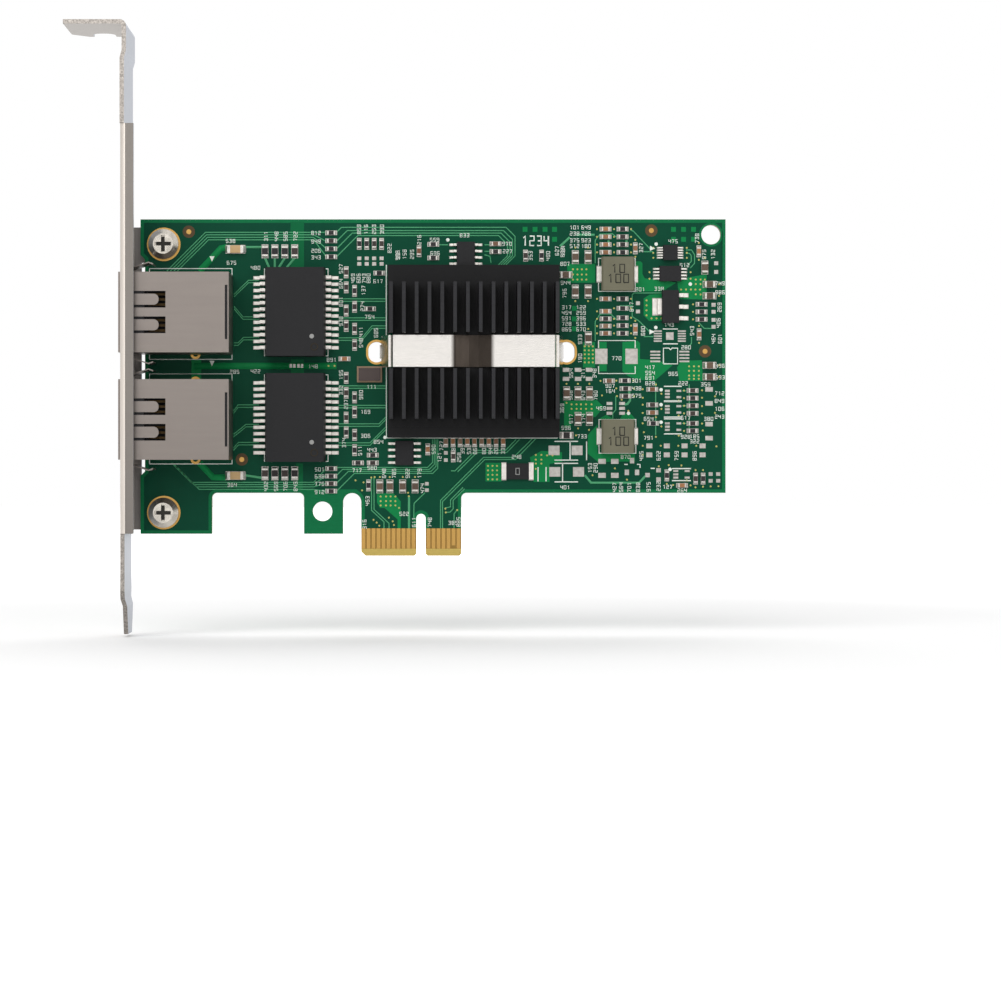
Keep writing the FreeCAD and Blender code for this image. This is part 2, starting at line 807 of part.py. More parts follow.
def build_bracket():
    body = new_body("mounting_bracket")
    inset = bend_outside
    front_edge = front_face + inset
    rear_edge = rear_face - inset

    # The flat plate: its edges stop where the flanges' bends begin.
    corners = [
        (front_edge, s.front_flange_bottom),
        (rear_edge, s.front_flange_bottom),
        (rear_edge, s.rear_flange_top),
        (rear_face, s.rear_flange_top),
        (rear_face, s.joggle_low),
        (front_face, s.joggle_low),
        (front_face, s.front_flange_top),
        (front_edge, s.front_flange_top),
    ]
    plate = outline(body, "plate", "YZ_Plane", corners, offset=plate_outer)
    pad(body, plate, s.sheet)

    flanges = (
        ("front_flange", front_face, 1, s.front_flange_bottom, s.front_flange_top),
        ("rear_flange", rear_face, -1, s.rear_flange_bottom, s.rear_flange_top),
    )
    for name, edge, inward, low, high in flanges:
        section = outline(body, name, "XY_Plane", flange_section(edge, inward), offset=low)
        pad(body, section, high - low)

    # Joggle, top bend and the tab that is screwed to the chassis.
    upper_outer = plate_outer + s.joggle_shift
    upper_inner = plate_inner + s.joggle_shift
    tab_end = upper_outer - s.tab_length
    tab_under = s.bracket_top - s.sheet
    corners = [
        (plate_outer, s.joggle_low),
        (upper_outer, s.joggle_high),
        (upper_outer, tab_under, s.bend_inside),
        (tab_end, tab_under),
        (tab_end, s.bracket_top),
        (upper_inner, s.bracket_top, bend_outside),
        (upper_inner, s.joggle_high),
        (plate_inner, s.joggle_low),
    ]
    tab = outline(body, "top_tab", "XZ_Plane", corners, offset=-rear_face)
    pad(body, tab, s.plate_width)

    # Tongue below the flanges, with its own joggle.
    lower_outer = plate_outer + s.joggle_shift
    lower_inner = plate_inner + s.joggle_shift
    tip = -s.bracket_tip
    corners = [
        (plate_outer, s.front_flange_bottom),
        (plate_outer, -s.tongue_joggle_high),
        (lower_outer, -s.tongue_joggle_low),
        (lower_outer, tip),
        (lower_inner, tip),
        (lower_inner, -s.tongue_joggle_low),
        (plate_inner, -s.tongue_joggle_high),
        (plate_inner, s.front_flange_bottom),
    ]
    tongue_front = front_edge
    tongue = outline(body, "tongue", "XZ_Plane", corners, offset=-(tongue_front + s.tongue_width))
    pad(body, tongue, s.tongue_width)

    # The tongue tapers to its tip on the solder side and is rounded off in front.
    tongue_rear = tongue_front + s.tongue_width
    past = s.sheet
    tip_rear = tongue_front + (s.tongue_width + s.tongue_tip_width) / 2
    tip_front = tip_rear - s.tongue_tip_width
    for name, wide, narrow in (("rear", tongue_rear, tip_rear), ("front", tongue_front, tip_front)):
        sign = 1 if name == "rear" else -1
        corners = [
            (wide, -s.tongue_taper_top),
            (wide + sign * past, -s.tongue_taper_top),
            (wide + sign * past, tip - past),
            (narrow, tip - past),
            (narrow, tip),
        ]
        taper = outline(body, f"tongue_taper_{name}", "YZ_Plane", corners)
        pocket(body, taper)

    dimple = new_sketch(body, "tongue_dimple", "YZ_Plane", offset=plate_outer)
    middle = tongue_front + s.tongue_width / 2
    draw_slot(dimple, middle, -s.dimple_bottom, -s.dimple_top, s.dimple_width)
    pocket(body, dimple, s.dimple_depth, reverse=True)

    # Ears that carry the board on the solder side, with a collar round each screw.
    spans = (
        ("upper_ear", s.rear_flange_top - s.ear_height, s.rear_flange_top),
        ("lower_ear", s.rear_flange_bottom, s.rear_flange_bottom + s.ear_height),
    )
    for name, low, high in spans:
        corners = [
            (flange_end - s.ear_radius, low),
            (ear_end, low, s.ear_radius),
            (ear_end, high, s.ear_radius),
            (flange_end - s.ear_radius, high),
        ]
        ear = outline(body, name, "XZ_Plane", corners, offset=-rear_face)
        pad(body, ear, s.sheet)
    collars = new_sketch(body, "collars", "XZ_Plane", offset=-rear_face)
    bores = new_sketch(body, "collar_bores", "XZ_Plane")
    for level in screw_levels.values():
        draw_circle(collars, screw_x, level, s.collar_radius)
        draw_circle(bores, screw_x, level, s.screw_radius)
    pad(body, collars, s.collar_height, reverse=True)
    pocket(body, bores)

    ports = new_sketch(body, "port_openings", "YZ_Plane", offset=plate_outer)
    top, foot = port_span()
    half = s.jack_width / 2 + s.port_side_room
    for level in jack_levels.values():
        draw_loop(ports, rectangle(top, foot, level - half, level + half))
    pocket(body, ports, s.sheet, reverse=True)

    # Open screw notch in the tab, on the solder-side edge, and a cut corner past it.
    notch = new_sketch(body, "screw_notch", "XY_Plane", offset=s.bracket_top)
    centre = upper_outer - s.screw_notch_centre
    half = s.screw_notch_width / 2
    inner = rear_face - s.screw_notch_depth
    round_off = half - 0.05
    draw_loop(notch, [
        (centre - half, rear_face + past),
        (centre - half, inner, round_off),
        (centre + half, inner, round_off),
        (centre + half, rear_face + past),
    ])
    pocket(body, notch, s.sheet)
    cut = s.tab_corner_cut
    corner = outline(body, "tab_corner", "XY_Plane", [
        (tab_end - past, rear_face - cut),
        (tab_end, rear_face - cut),
        (tab_end + cut, rear_face),
        (tab_end + cut, rear_face + past),
        (tab_end - past, rear_face + past),
    ], offset=s.bracket_top)
    pocket(body, corner, s.sheet)
    keep(body, "mounting_bracket")


def build_screw(name, level):
    """A pan-head cross-recess screw along Y, from the component side into its collar."""
    body = new_body(name)
    flat = s.screw_head_height - s.screw_crown
    tip = s.board_thickness + s.screw_tip
    profile = outline(body, f"{name}_profile", "XY_Plane", [
        (ZERO, tip),
        (s.screw_radius, tip),
        (s.screw_radius, ZERO),
        (s.screw_head_radius, ZERO),
        (s.screw_head_radius, -flat),
        (s.screw_head_radius - s.screw_crown, -s.screw_head_height),
        (ZERO, -s.screw_head_height),
    ])
    turned = body.newObject("PartDesign::Revolution", f"{name}_turned")
    turned.Profile = profile
    turned.ReferenceAxis = (profile, ["V_Axis"])
    turned.Angle = FULL_TURN
    doc.recompute()
    arm = s.cross_length / 2
    thin = s.cross_width / 2
    cross = outline(body, f"{name}_cross", "XZ_Plane", [
        (-arm, -thin), (-thin, -thin), (-thin, -arm), (thin, -arm),
        (thin, -thin), (arm, -thin), (arm, thin), (thin, thin),
        (thin, arm), (-thin, arm), (-thin, thin), (-arm, thin),
    ], offset=s.screw_head_height)
    pocket(body, cross, s.cross_depth)
    return place(body, screw_x, above(0), level)


# Jacks

shield_top = s.shield_lift + s.jack_height


def build_shield(side, level):
    """The folded shell: three walls, a rear wall, two springs on top and two at the sides."""
    body = new_body(f"{side}_jack_shield")
    half = s.jack_width / 2
    wall = s.shield_wall
    foot = above(s.shield_lift)
    top = above(shield_top)
    shell = outline(body, f"{side}_shell", "YZ_Plane", [
        (foot, -half), (foot, -half + wall), (top + wall, -half + wall), (top + wall, half - wall),
        (foot, half - wall), (foot, half), (top, half), (top, -half),
    ], offset=jack_front)
    pad(body, shell, jack_length)
    rear = outline(body, f"{side}_rear_wall", "YZ_Plane",
                   rectangle(top, foot, -half, half), offset=jack_rear - wall)
    pad(body, rear, wall)

    # A spring finger in each top window is left standing by a U-shaped slot.
    start = jack_front + s.window_start
    window_end = jack_front + s.window_end
    spring_end = jack_front + s.spring_end
    for number, way in enumerate(SIDES):
        middle = s.window_offset * way
        outer = s.window_width / 2
        inner = s.spring_width / 2
        window = outline(body, f"{side}_window_{number}", "XZ_Plane", [
            (start, middle - outer),
            (window_end, middle - outer),
            (window_end, middle + outer),
            (start, middle + outer),
            (start, middle + inner),
            (spring_end, middle + inner, inner * 0.9),
            (spring_end, middle - inner, inner * 0.9),
            (start, middle - inner),
        ], offset=-(top + wall))
        pocket(body, window, wall, reverse=True)
    slit = s.rear_slit_height / 2
    rear_slit = outline(body, f"{side}_rear_slit", "XZ_Plane", rectangle(
        jack_rear - wall - s.rear_slit_width, jack_rear - wall, -slit, slit), offset=-(top + wall))
    pocket(body, rear_slit, wall, reverse=True)

    # Leaves that spread from the sides to press on the bracket's opening.
    thick = s.leaf_thickness
    root = jack_front + s.leaf_root
    leaf_end = jack_front + s.leaf_end
    plate = plate_inner + s.sheet / 2
    for number, way in enumerate(SIDES):
        leaf = outline(body, f"{side}_leaf_{number}", "XZ_Plane", [
            (root, way * half),
            (root + thick, way * half),
            (plate, way * (half + s.leaf_rise - thick)),
            (leaf_end, way * (half + s.leaf_spread - thick)),
            (leaf_end + s.leaf_kink, way * (half + s.leaf_spread - thick * 2.4)),
            (leaf_end + s.leaf_kink, way * (half + s.leaf_spread - thick * 1.2)),
            (leaf_end, way * (half + s.leaf_spread)),
            (plate, way * (half + s.leaf_rise)),
        ], offset=-above(shield_top / 2 - s.leaf_width / 2))
        pad(body, leaf, s.leaf_width)

    # Legs through the board.
    leg_low = jack_front + s.shield_leg - s.shield_leg_width / 2
    leg_high = leg_low + s.shield_leg_width
    end = behind(s.leg_reach)
    for number, way in enumerate(SIDES):
        near = way * (half - wall)
        far = way * half
        legs = outline(body, f"{side}_leg_{number}", "XY_Plane", rectangle(
            leg_low, leg_high, foot, end), offset=near if way > 0 else far)
        pad(body, legs, wall)
    place(body, z=level)
    keep(body, f"{side}_jack_shield")


def build_housing(side, level):
    """The moulded insert: plug cavity, latch slot, lamp pockets, contact recess and pin well."""
    body = new_body(f"{side}_jack_housing")
    half = s.jack_width / 2 - s.shield_wall
    front = jack_front + s.housing_setback
    rear = jack_rear - s.shield_wall
    top = above(shield_top - s.shield_wall)
    base = outline(body, f"{side}_housing", "YZ_Plane",
                   rectangle(top, above(0), -half, half), offset=front)
    pad(body, base, rear - front)

    plug = s.plug_width / 2
    latch = s.latch_width / 2
    cavity = outline(body, f"{side}_cavity", "YZ_Plane", [
        (above(s.plug_high), -plug), (above(s.plug_low), -plug), (above(s.plug_low), -latch),
        (above(s.latch_low), -latch), (above(s.latch_low), latch), (above(s.plug_low), latch),
        (above(s.plug_low), plug), (above(s.plug_high), plug),
    ], offset=front)
    pocket(body, cavity, s.plug_depth, reverse=True)

    lamps = new_sketch(body, f"{side}_lamp_pockets", "YZ_Plane", offset=front)
    for way in SIDES:
        low = way * s.lamp_offset - s.lamp_width / 2
        draw_loop(lamps, rectangle(above(s.lamp_high), above(0), low, low + s.lamp_width))
    pocket(body, lamps, s.lamp_length, reverse=True)

    recess_front = jack_front + s.recess_front
    recess = outline(body, f"{side}_contact_recess", "XZ_Plane", rectangle(
        recess_front, well_rear, -s.recess_width / 2, s.recess_width / 2), offset=-top)
    pocket(body, recess, shield_top - s.shield_wall - s.recess_floor)
    comb = outline(body, f"{side}_comb", "XZ_Plane", rectangle(
        recess_front, jack_front + s.plug_depth, -s.comb_width / 2, s.comb_width / 2), offset=-top)
    pocket(body, comb, shield_top - s.shield_wall - s.plug_high)
    well = outline(body, f"{side}_pin_well", "XZ_Plane", rectangle(
        well_front, well_rear, -s.recess_width / 2, s.recess_width / 2))
    pocket(body, well)

    pegs = new_sketch(body, f"{side}_pegs", "XZ_Plane", offset=half_board)
    for way in SIDES:
        draw_circle(pegs, jack_front + s.peg, way * s.peg_offset, s.peg_radius)
    pad(body, pegs, s.board_thickness + s.peg_reach, reverse=True)
    place(body, z=level)
    keep(body, f"{side}_jack_housing")


def contact_wire(offset, pin_x, wire_z):
    """One contact: a post through the board, a run over the housing and a sloping spring."""
    pin = float(s.pin_side)
    wide = float(s.wire_width)
    thick = float(s.wire_thickness)
    floor = float(above(s.recess_floor))
    tail = float(behind(s.leg_reach))
    x = float(pin_x)
    post = Part.makeBox(pin, tail - floor + thick, pin, Vector(x - pin / 2, floor - thick, offset - pin / 2))
    back = float(jack_front + s.plug_depth)
    run = Part.makePolygon([
        Vector(x + pin / 2, floor, offset - wide / 2), Vector(x + pin / 2, floor, offset + wide / 2),
        Vector(back, floor, wire_z + wide / 2), Vector(back, floor, wire_z - wide / 2),
        Vector(x + pin / 2, floor, offset - wide / 2)])
    run = Part.Face(run).extrude(Vector(0, -thick, 0))
    nose = float(jack_front + s.wire_front)
    end = float(jack_front + s.wire_back)
    dip = float(above(s.recess_floor - s.wire_drop))
    spring = Part.makePolygon([Vector(a, b, wire_z - wide / 2) for a, b in (
        (back, floor), (back, floor - thick), (nose, floor - thick), (nose - thick, floor),
        (nose - thick, floor + thick), (end, dip), (end, dip - thick), (nose + thick, floor))]
        + [Vector(back, floor, wire_z - wide / 2)])
    spring = Part.Face(spring).extrude(Vector(0, 0, wide))
    return post.fuse([run, spring]).removeSplitter()


def build_contacts(side, level):
    wires = []
    first = float(s.wire_pitch) * (PINS_PER_ROW - 0.5)
    for i, (offset, pin_x) in enumerate(pin_offsets()):
        wires.append(contact_wire(float(offset), pin_x, first - float(s.wire_pitch) * i))
    contacts = doc.addObject("Part::Feature", f"{side}_jack_contacts")
    contacts.Shape = Part.makeCompound(wires)
    place(contacts, z=level)
    keep(contacts, f"{side}_jack_contacts")


def build_lamps(side, level):
    """Two status lamps beside the latch, each one moulding on two square pins."""
    lamps = []
    front = jack_front + s.housing_setback
    for way in SIDES:
        low = level + way * s.lamp_offset - s.lamp_width / 2
        corner = (front, above(s.lamp_high), low)
        lens = block(f"{side}_lens_{way + 1}", corner,
                     (s.lamp_length, s.lamp_high - s.lamp_low, s.lamp_width))
        pins = []
        for offset in (s.lamp_pin_inner, s.lamp_pin_outer):
            pin_x = jack_front + s.lamp_pin - s.pin_side / 2
            pin_low = (pin_x, above(s.lamp_low), level + way * offset - s.pin_side / 2)
            reach = s.lamp_low + s.board_thickness + s.leg_reach
            pins.append(block(f"{side}_lamp_pin_{way + 1}_{len(pins)}", pin_low, (s.pin_side, reach, s.pin_side)))
        lamps.append(join(f"{side}_lamp_{way + 1}", [lens] + pins))
    keep(group(f"{side}_jack_lamps", lamps), f"{side}_jack_lamps")


# Chips

def moulded_package(name, x, z, sides, lift, draft):
    """A package that is widest at its parting line, half way up."""
    width, height, rise = (as_size(side) for side in sides)
    body = new_body(name)
    half = width / 2
    section = outline(body, f"{name}_section", "XY_Plane", [
        (-half + draft, ZERO), (half - draft, ZERO), (half, -rise / 2), (half - draft, -rise),
        (-half + draft, -rise), (-half, -rise / 2),
    ])
    pad(body, section, height, symmetric=True)
    return place(body, x, above(lift), z)


def lead_section(shoulder, inner, outer):
    """Gull-wing outline in X and height: out of the package, down, and along the pad."""
    thick = float(s.lead_thickness)
    bend = inner + (outer - inner) * 0.45
    slope = thick * 0.6
    return [
        (inner, shoulder), (inner, shoulder + thick), (bend, shoulder + thick), (bend + slope, thick),
        (outer, thick), (outer, 0.0), (bend + slope - thick, 0.0), (bend - thick, shoulder),
    ]


def strip_section(shoulder, inner, outer):
    """A thin straight strip from the package's side down to the pad."""
    thick = float(s.lead_thickness)
    return [(inner, shoulder), (inner, shoulder + thick), (outer, thick), (outer, 0.0)]


def gull_wings(name, x, z, package_width, span, shoulder, pitch, width, counts, bent=True):
    """Rows of leads on the left and the right of a package."""
    leads = []
    wide = float(width)
    base = float(above(0))
    for way, count in zip(SIDES, counts):
        shape_of = lead_section if bent else strip_section
        section = shape_of(float(shoulder), float(package_width) / 2, float(span) / 2)
        for i in range(count):
            level = float(z) + (i - (count - 1) / 2) * float(pitch) - wide / 2
            ring = [Vector(float(x) + way * a, base - b, level) for a, b in section + section[:1]]
            leads.append(Part.Face(Part.makePolygon(ring)).extrude(Vector(0, 0, wide)))
    feature = doc.addObject("Part::Feature", name)
    feature.Shape = Part.makeCompound(leads)
    return keep(feature, name)


def build_magnetics():
    per_side = 12
    for side, jack_level in jack_levels.items():
        level = jack_level + s.magnetics_shift
        sides = (s.magnetics_width, s.magnetics_height, s.magnetics_rise)
        package = moulded_package(f"{side}_magnetics", -s.magnetics_x, level, sides,
                                  s.magnetics_lift, s.magnetics_draft)
        keep(package, f"{side}_magnetics")
        shoulder = s.magnetics_lift + s.magnetics_rise / 2 - s.lead_thickness / 2
        gull_wings(f"{side}_magnetics_leads", -s.magnetics_x, level, s.magnetics_width,
                   s.magnetics_span, shoulder, s.magnetics_lead_pitch, s.magnetics_lead_width,
                   (per_side, per_side))


def build_memory_chips():
    per_side = 4
    for side, x, z in (("upper", 8.95, 60.3), ("lower", -3.3, 20.55)):
        sides = (s.memory_width, s.memory_height, s.memory_rise)
        keep(moulded_package(f"{side}_memory_chip", x, z, sides, s.chip_lift, s.chip_draft),
             f"{side}_memory_chip")
        shoulder = s.chip_lift + s.memory_rise / 2 - s.lead_thickness / 2
        gull_wings(f"{side}_memory_leads", x, z, s.memory_width, s.memory_span, shoulder,
                   s.memory_lead_pitch, s.memory_lead_width, (per_side, per_side))


def build_power_chips():
    shoulder = s.chip_lift + s.thin_chip_rise / 2 - s.lead_thickness / 2
    sides = (s.regulator_side, s.regulator_side, s.thin_chip_rise)
    keep(moulded_package("regulator_chip", s.regulator_x, s.regulator_z, sides, s.chip_lift,
                         s.chip_draft), "regulator_chip")
    gull_wings("regulator_leads", s.regulator_x, s.regulator_z, s.regulator_side,
               s.regulator_span, shoulder, s.regulator_lead_pitch, s.regulator_lead_width, (5, 5),
               bent=False)

    sides = (s.driver_width, s.driver_height, s.thin_chip_rise)
    keep(moulded_package("driver_chip", s.regulator_x, s.driver_z, sides, s.chip_lift,
                         s.chip_draft), "driver_chip")
    gull_wings("driver_leads", s.regulator_x, s.driver_z, s.driver_width, s.driver_span,
               shoulder, s.driver_lead_pitch, s.driver_lead_width, (4, 4), bent=False)

    sides = (s.transistor_width, s.transistor_height, s.transistor_rise)
    keep(moulded_package("power_transistor", s.regulator_x, s.transistor_z, sides, s.chip_lift,
                         s.chip_draft), "power_transistor")
    shoulder = s.chip_lift + s.transistor_rise / 2 - s.lead_thickness / 2
    leads = gull_wings("transistor_leads", s.regulator_x, s.transistor_z, s.transistor_width,
                       s.transistor_span, shoulder, s.transistor_lead_pitch,
                       s.transistor_lead_width, (0, 3))
    section = lead_section(float(shoulder), float(s.transistor_width) / 2, float(s.transistor_span) / 2)
    tall = float(s.transistor_tab_height)
    ring = [Vector(float(s.regulator_x) - a, float(above(0)) - b, float(s.transistor_z) - tall / 2)
            for a, b in section + section[:1]]
    tab = Part.Face(Part.makePolygon(ring)).extrude(Vector(0, 0, tall))
    leads.Shape = Part.makeCompound(leads.Shape.Solids + [tab])


def build_crystal():
    sides = (s.crystal_width, s.crystal_height, s.crystal_base_rise)
    keep(on_front("crystal_base", -s.crystal_x, s.crystal_z, sides), "crystal_base")
    inset = 2 * s.crystal_lid_inset
    sides = (s.crystal_width - inset, s.crystal_height - inset, s.crystal_lid_rise)
    keep(on_front("crystal_lid", -s.crystal_x, s.crystal_z, sides, lift=s.crystal_base_rise),
         "crystal_lid")


def build_inductors():
    for side, level in (("upper", s.upper_inductor_z), ("lower", s.lower_inductor_z)):
        body = new_body(f"{side}_inductor")
        half = s.inductor_width / 2
        bevel = s.inductor_bevel
        section = outline(body, f"{side}_inductor_section", "XY_Plane", [
            (-half, ZERO), (half, ZERO), (half, -(s.inductor_rise - bevel)),
            (half - bevel, -s.inductor_rise), (-half + bevel, -s.inductor_rise),
            (-half, -(s.inductor_rise - bevel)),
        ])
        pad(body, section, s.inductor_height, symmetric=True)
        place(body, s.inductor_x, above(s.terminal_thickness), level)
        keep(body, f"{side}_inductor")

        # Each terminal is a strip that comes out at the side and folds down on its pad.
        ends = []
        for way in SIDES:
            edge = s.inductor_x + way * half
            name = f"{side}_terminal_{way + 1}"
            wide = s.terminal_reach
            thin = s.terminal_thickness
            low = level - s.terminal_height / 2
            up_x = edge if way > 0 else edge - thin
            foot_x = edge - s.inductor_bevel * 4 if way > 0 else edge - wide
            rise = s.inductor_rise / 2
            upright = block(f"{name}_upright", (up_x, above(thin + rise), low),
                            (thin, rise, s.terminal_height))
            foot = block(f"{name}_foot", (foot_x, above(thin), low),
                         (wide + s.inductor_bevel * 4, thin, s.terminal_height))
            ends.append(join(name, [upright, foot]))
        keep(group(f"{side}_inductor_terminals", ends), f"{side}_inductor_terminals")


# Controller, heat sink and clip

def build_controller():
    sides = (s.controller_side, s.controller_side, s.controller_rise)
    keep(on_front("controller_chip", s.controller_x, s.controller_z, sides), "controller_chip")
    sides = (s.thermal_pad_side, s.thermal_pad_side, s.thermal_pad_thickness)
    keep(on_front("thermal_pad", s.controller_x, s.controller_z, sides, lift=s.controller_rise),
         "thermal_pad")


def build_heat_sink():
    """Base plate with two rows of fins, parted by the clip's channel."""
    body = new_body("heat_sink")
    wide = sink_width / 2
    tall = sink_length / 2
    channel = s.clip_channel / 2
    notch = s.clip_notch
    base = outline(body, "sink_base", "XZ_Plane", [
        (-wide, -tall), (wide, -tall), (wide, -channel), (wide - notch, -channel),
        (wide - notch, channel), (wide, channel), (wide, tall), (-wide, tall),
        (-wide, channel), (-wide + notch, channel), (-wide + notch, -channel), (-wide, -channel),
    ])
    pad(body, base, s.sink_base)
    step = outline(body, "sink_step", "XZ_Plane", rectangle(
        -wide, wide, -tall, -tall + s.sink_step_length), offset=s.sink_base)
    pocket(body, step, s.sink_step)

    fin_count = 14
    first = -s.fin_span / 2
    half_fin = s.fin_thickness / 2
    top = s.sink_base + s.fin_height
    fins = []
    for name, low, high in (("lower", -s.fin_length / 2, -channel), ("upper", channel, s.fin_length / 2)):
        section = outline(body, f"{name}_fin", "XY_Plane", rectangle(
            first - half_fin, first + half_fin, -top, -s.sink_base), offset=low)
        fins.append(pad(body, section, high - low))
    pattern = body.newObject("PartDesign::LinearPattern", "fins")
    pattern.Originals = fins
    pattern.Direction = (fins[0].Profile[0], ["H_Axis"])
    pattern.Occurrences = fin_count
    bind(pattern, "Length", s.fin_span)
    body.Tip = pattern
    doc.recompute()
    place(body, s.controller_x, above(s.controller_rise + s.thermal_pad_thickness), s.controller_z)
    keep(body, "heat_sink")


def clip_half(way):
    """Upper and under outline of one half of the clip, from the dip out to its hook."""
    thick = s.clip_thickness
    flat = s.clip_flat_height
    seat = s.controller_rise + s.thermal_pad_thickness + s.sink_base
    middle = s.controller_x
    end = middle + way * (sink_width / 2 - s.clip_side_inset)
    hole_edge = clip_hole_centre + way * (clip_hole_offset - s.clip_hole_width / 2)
    inner_leg = hole_edge + way * s.clip_leg_gap
    shoulder_in = end - way * s.clip_shoulder_inset
    shoulder_out = shoulder_in + way * s.clip_shoulder
    lower = flat - s.clip_shoulder
    under_board = -s.board_thickness
    dip = s.clip_dip_top / 2
    foot = s.clip_dip_bottom / 2
    slack = thick * 0.4
    upper = [
        (middle + way * (foot - slack), seat + thick),
        (middle + way * (dip - slack), flat + thick),
        (shoulder_in + way * slack, flat + thick),
        (shoulder_out, lower + thick),
        (end, lower + thick),
        (inner_leg + way * thick, s.clip_leg_height),
        (inner_leg + way * thick, under_board - thick),
        (inner_leg - way * s.clip_hook_length, under_board - thick),
        (inner_leg - way * s.clip_hook_length, under_board),
    ]
    under = [
        (inner_leg, under_board),
        (inner_leg, s.clip_leg_height),
        (end - way * thick, lower),
        (shoulder_out - way * slack, lower),
        (shoulder_in, flat),
        (middle + way * dip, flat),
        (middle + way * foot, seat),
    ]
    return upper, under


def build_clip():
    """A spring strip: a dip that presses on the heat sink and hooked legs through the board."""
    body = new_body("heat_sink_clip")
    left_upper, left_under = clip_half(-1)
    right_upper, right_under = clip_half(1)
    corners = right_upper + right_under + left_under[::-1] + left_upper[::-1]
    corners = [(x, above(height)) for x, height in corners]
    strip = outline(body, "clip_strip", "XY_Plane", corners)
    pad(body, strip, s.clip_width, symmetric=True)
    # The legs are narrower than the strip, to pass through the board.
    trims = new_sketch(body, "clip_leg_trims", "YZ_Plane")
    wide = s.clip_width / 2 + s.clip_thickness
    narrow = s.clip_leg_width / 2
    far = behind(s.clip_flat_height)
    near = above(s.clip_leg_top)
    for way in SIDES:
        low, high = (narrow, wide) if way > 0 else (-wide, -narrow)
        draw_loop(trims, rectangle(near, far, low, high))
    pocket(body, trims)
    place(body, z=s.controller_z)
    keep(body, "heat_sink_clip")


# Chip capacitors and resistors

def upright(x, z, length, width):
    return x, z, width, length


def lying(x, z, length, width):
    return x, z, length, width


def small_resistor_places():
    """Middles and directions of the small resistors, row by row."""
    places = [lying(-17.96, z, *SMALL) for z in row(12.95, 1.5, 4) + row(59.8, 1.6, 4)]
    places += [upright(x, 62.4, *SMALL) for x in row(-12.35, 1.49, 4)]
    for start, step in ((24.7, 2.95), (32.6, 3.0), (46.0, 3.05), (53.7, 3.0)):
        places += [upright(-14.96, z, *SMALL) for z in row(start, step, 2)]
    for start, step in ((21.15, 3.05), (28.75, 2.95), (42.2, 3.2), (49.8, 3.2)):
        places += [upright(-13.28, z, *SMALL) for z in row(start, step, 2)]
    places += [lying(x, z, *SMALL) for x, z in (
        (-8.35, 56.55), (-10.2, 49.4), (-12.6, 18.6), (-9.65, 20.15), (-9.65, 18.6),
        (2.45, 62.3), (2.45, 59.6), (14.9, 60.85))]
    places += [upright(x, z, *SMALL) for x, z in ((-10.5, 14.1), (20.9, 60.05), (24.1, 60.05), (6.45, 19.9))]
    places += [lying(40.3, z, *SMALL) for z in row(60.7, 1.55, 4) + row(44.5, 1.55, 3) + [49.5, 51.4]]
    places += [lying(x, z, *SMALL) for x, z in (
        (36.9, 47.4), (56.1, 47.3), (56.1, 48.8), (56.1, 50.3), (40.75, 35.05), (40.9, 33.45),
        (40.9, 31.95), (46.4, 26.5), (46.25, 30.2))]
    places += [lying(54.3, z, *SMALL) for z in row(25.0, 1.5, 2) + row(28.5, 1.52, 4)]
    places += [upright(x, z, *SMALL) for x, z in ((49.15, 16.1), (54.9, 15.45), (56.4, 15.45))]
    return places


def small_capacitor_places():
    places = [lying(x, z, *SMALL) for x, z in (
        (-15.3, 39.4), (14.9, 62.4), (36.9, 51.4), (36.9, 48.9), (36.9, 45.95), (36.9, 44.5),
        (37.6, 35.0), (46.25, 33.3), (46.25, 28.65), (52.2, 14.1))]
    places += [upright(x, z, *SMALL) for x, z in (
        (-0.4, 60.95), (1.35, 21.3), (42.85, 61.5), (42.85, 45.3), (55.55, 60.9), (55.6, 44.3))]
    places += [lying(36.9, z, *SMALL) for z in row(60.7, 1.55, 4)]
    places += [upright(x, 22.9, *SMALL) for x in row(4.95, 1.435, 9)]
    return places


def large_capacitor_places():
    places = [upright(x, z, *LARGE) for x in (30.85, 33.4) for z in (52.85, 59.75)]
    places += [upright(x, 32.5, *LARGE) for x in row(29.1, 2.28, 3)]
    places += [upright(x, 27.4, *LARGE) for x in row(31.4, 2.28, 2)]
    places += [upright(33.45, 43.5, *LARGE), upright(56.75, 57.65, *LARGE), lying(28.9, 56.2, *LARGE)]
    places += [lying(57.7, z, *LARGE) for z in (35.8, 38.1, 52.0, 54.3)]
    places += [upright(x, 13.9, *LARGE) for x in (-8.24, -6.22, -3.68, -1.18)]
    places += [lying(-37.1, z, *FILM) for z in (16.05, 61.3)]
    return places


def large_resistor_places():
    places = [upright(x, z, *LARGE) for z in (16.5, 60.9) for x in row(-31.2, 1.98, 4)]
    places.append(lying(29.1, 24.1, *LARGE))
    return places


def back_capacitor_places():
    """Tiny capacitors round the controller's middle, and two columns beside them."""
    middle = 40.3
    places = []
    for step in (3, 5):
        for way in SIDES:
            places += [lying(x, middle + way * step, *TINY) for x in (1.7, 4.7, 6.65)]
            places.append(lying(8.65, middle + way * (step + 1), *TINY))
    places += [lying(x, middle, *TINY) for x in (0.75, 2.7, 6.0, 8.65)]
    places += [lying(10.6, middle + step, *TINY) for step in (-3, -2, -1, 0, 2, 3)]
    places += [lying(13.7, middle + step, *TINY) for step in (-2, -1, 1, 2)]
    places += [lying(x, middle + 9.9, *TINY) for x in (2.7, 4.7)]
    places += [lying(x, middle - 9.95, *TINY) for x in (1.7, 3.7)]
    places += [upright(-17.2, z, *TINY) for z in (31.2, 41.1, 44.9, 48.7, 52.4)]
    places += [upright(-14.4, z, *TINY) for z in (37.5, 43.7, 58.5)]
    places += [upright(-12.6, z, *TINY) for z in (33.4, 39.9, 55.2)]
    return places


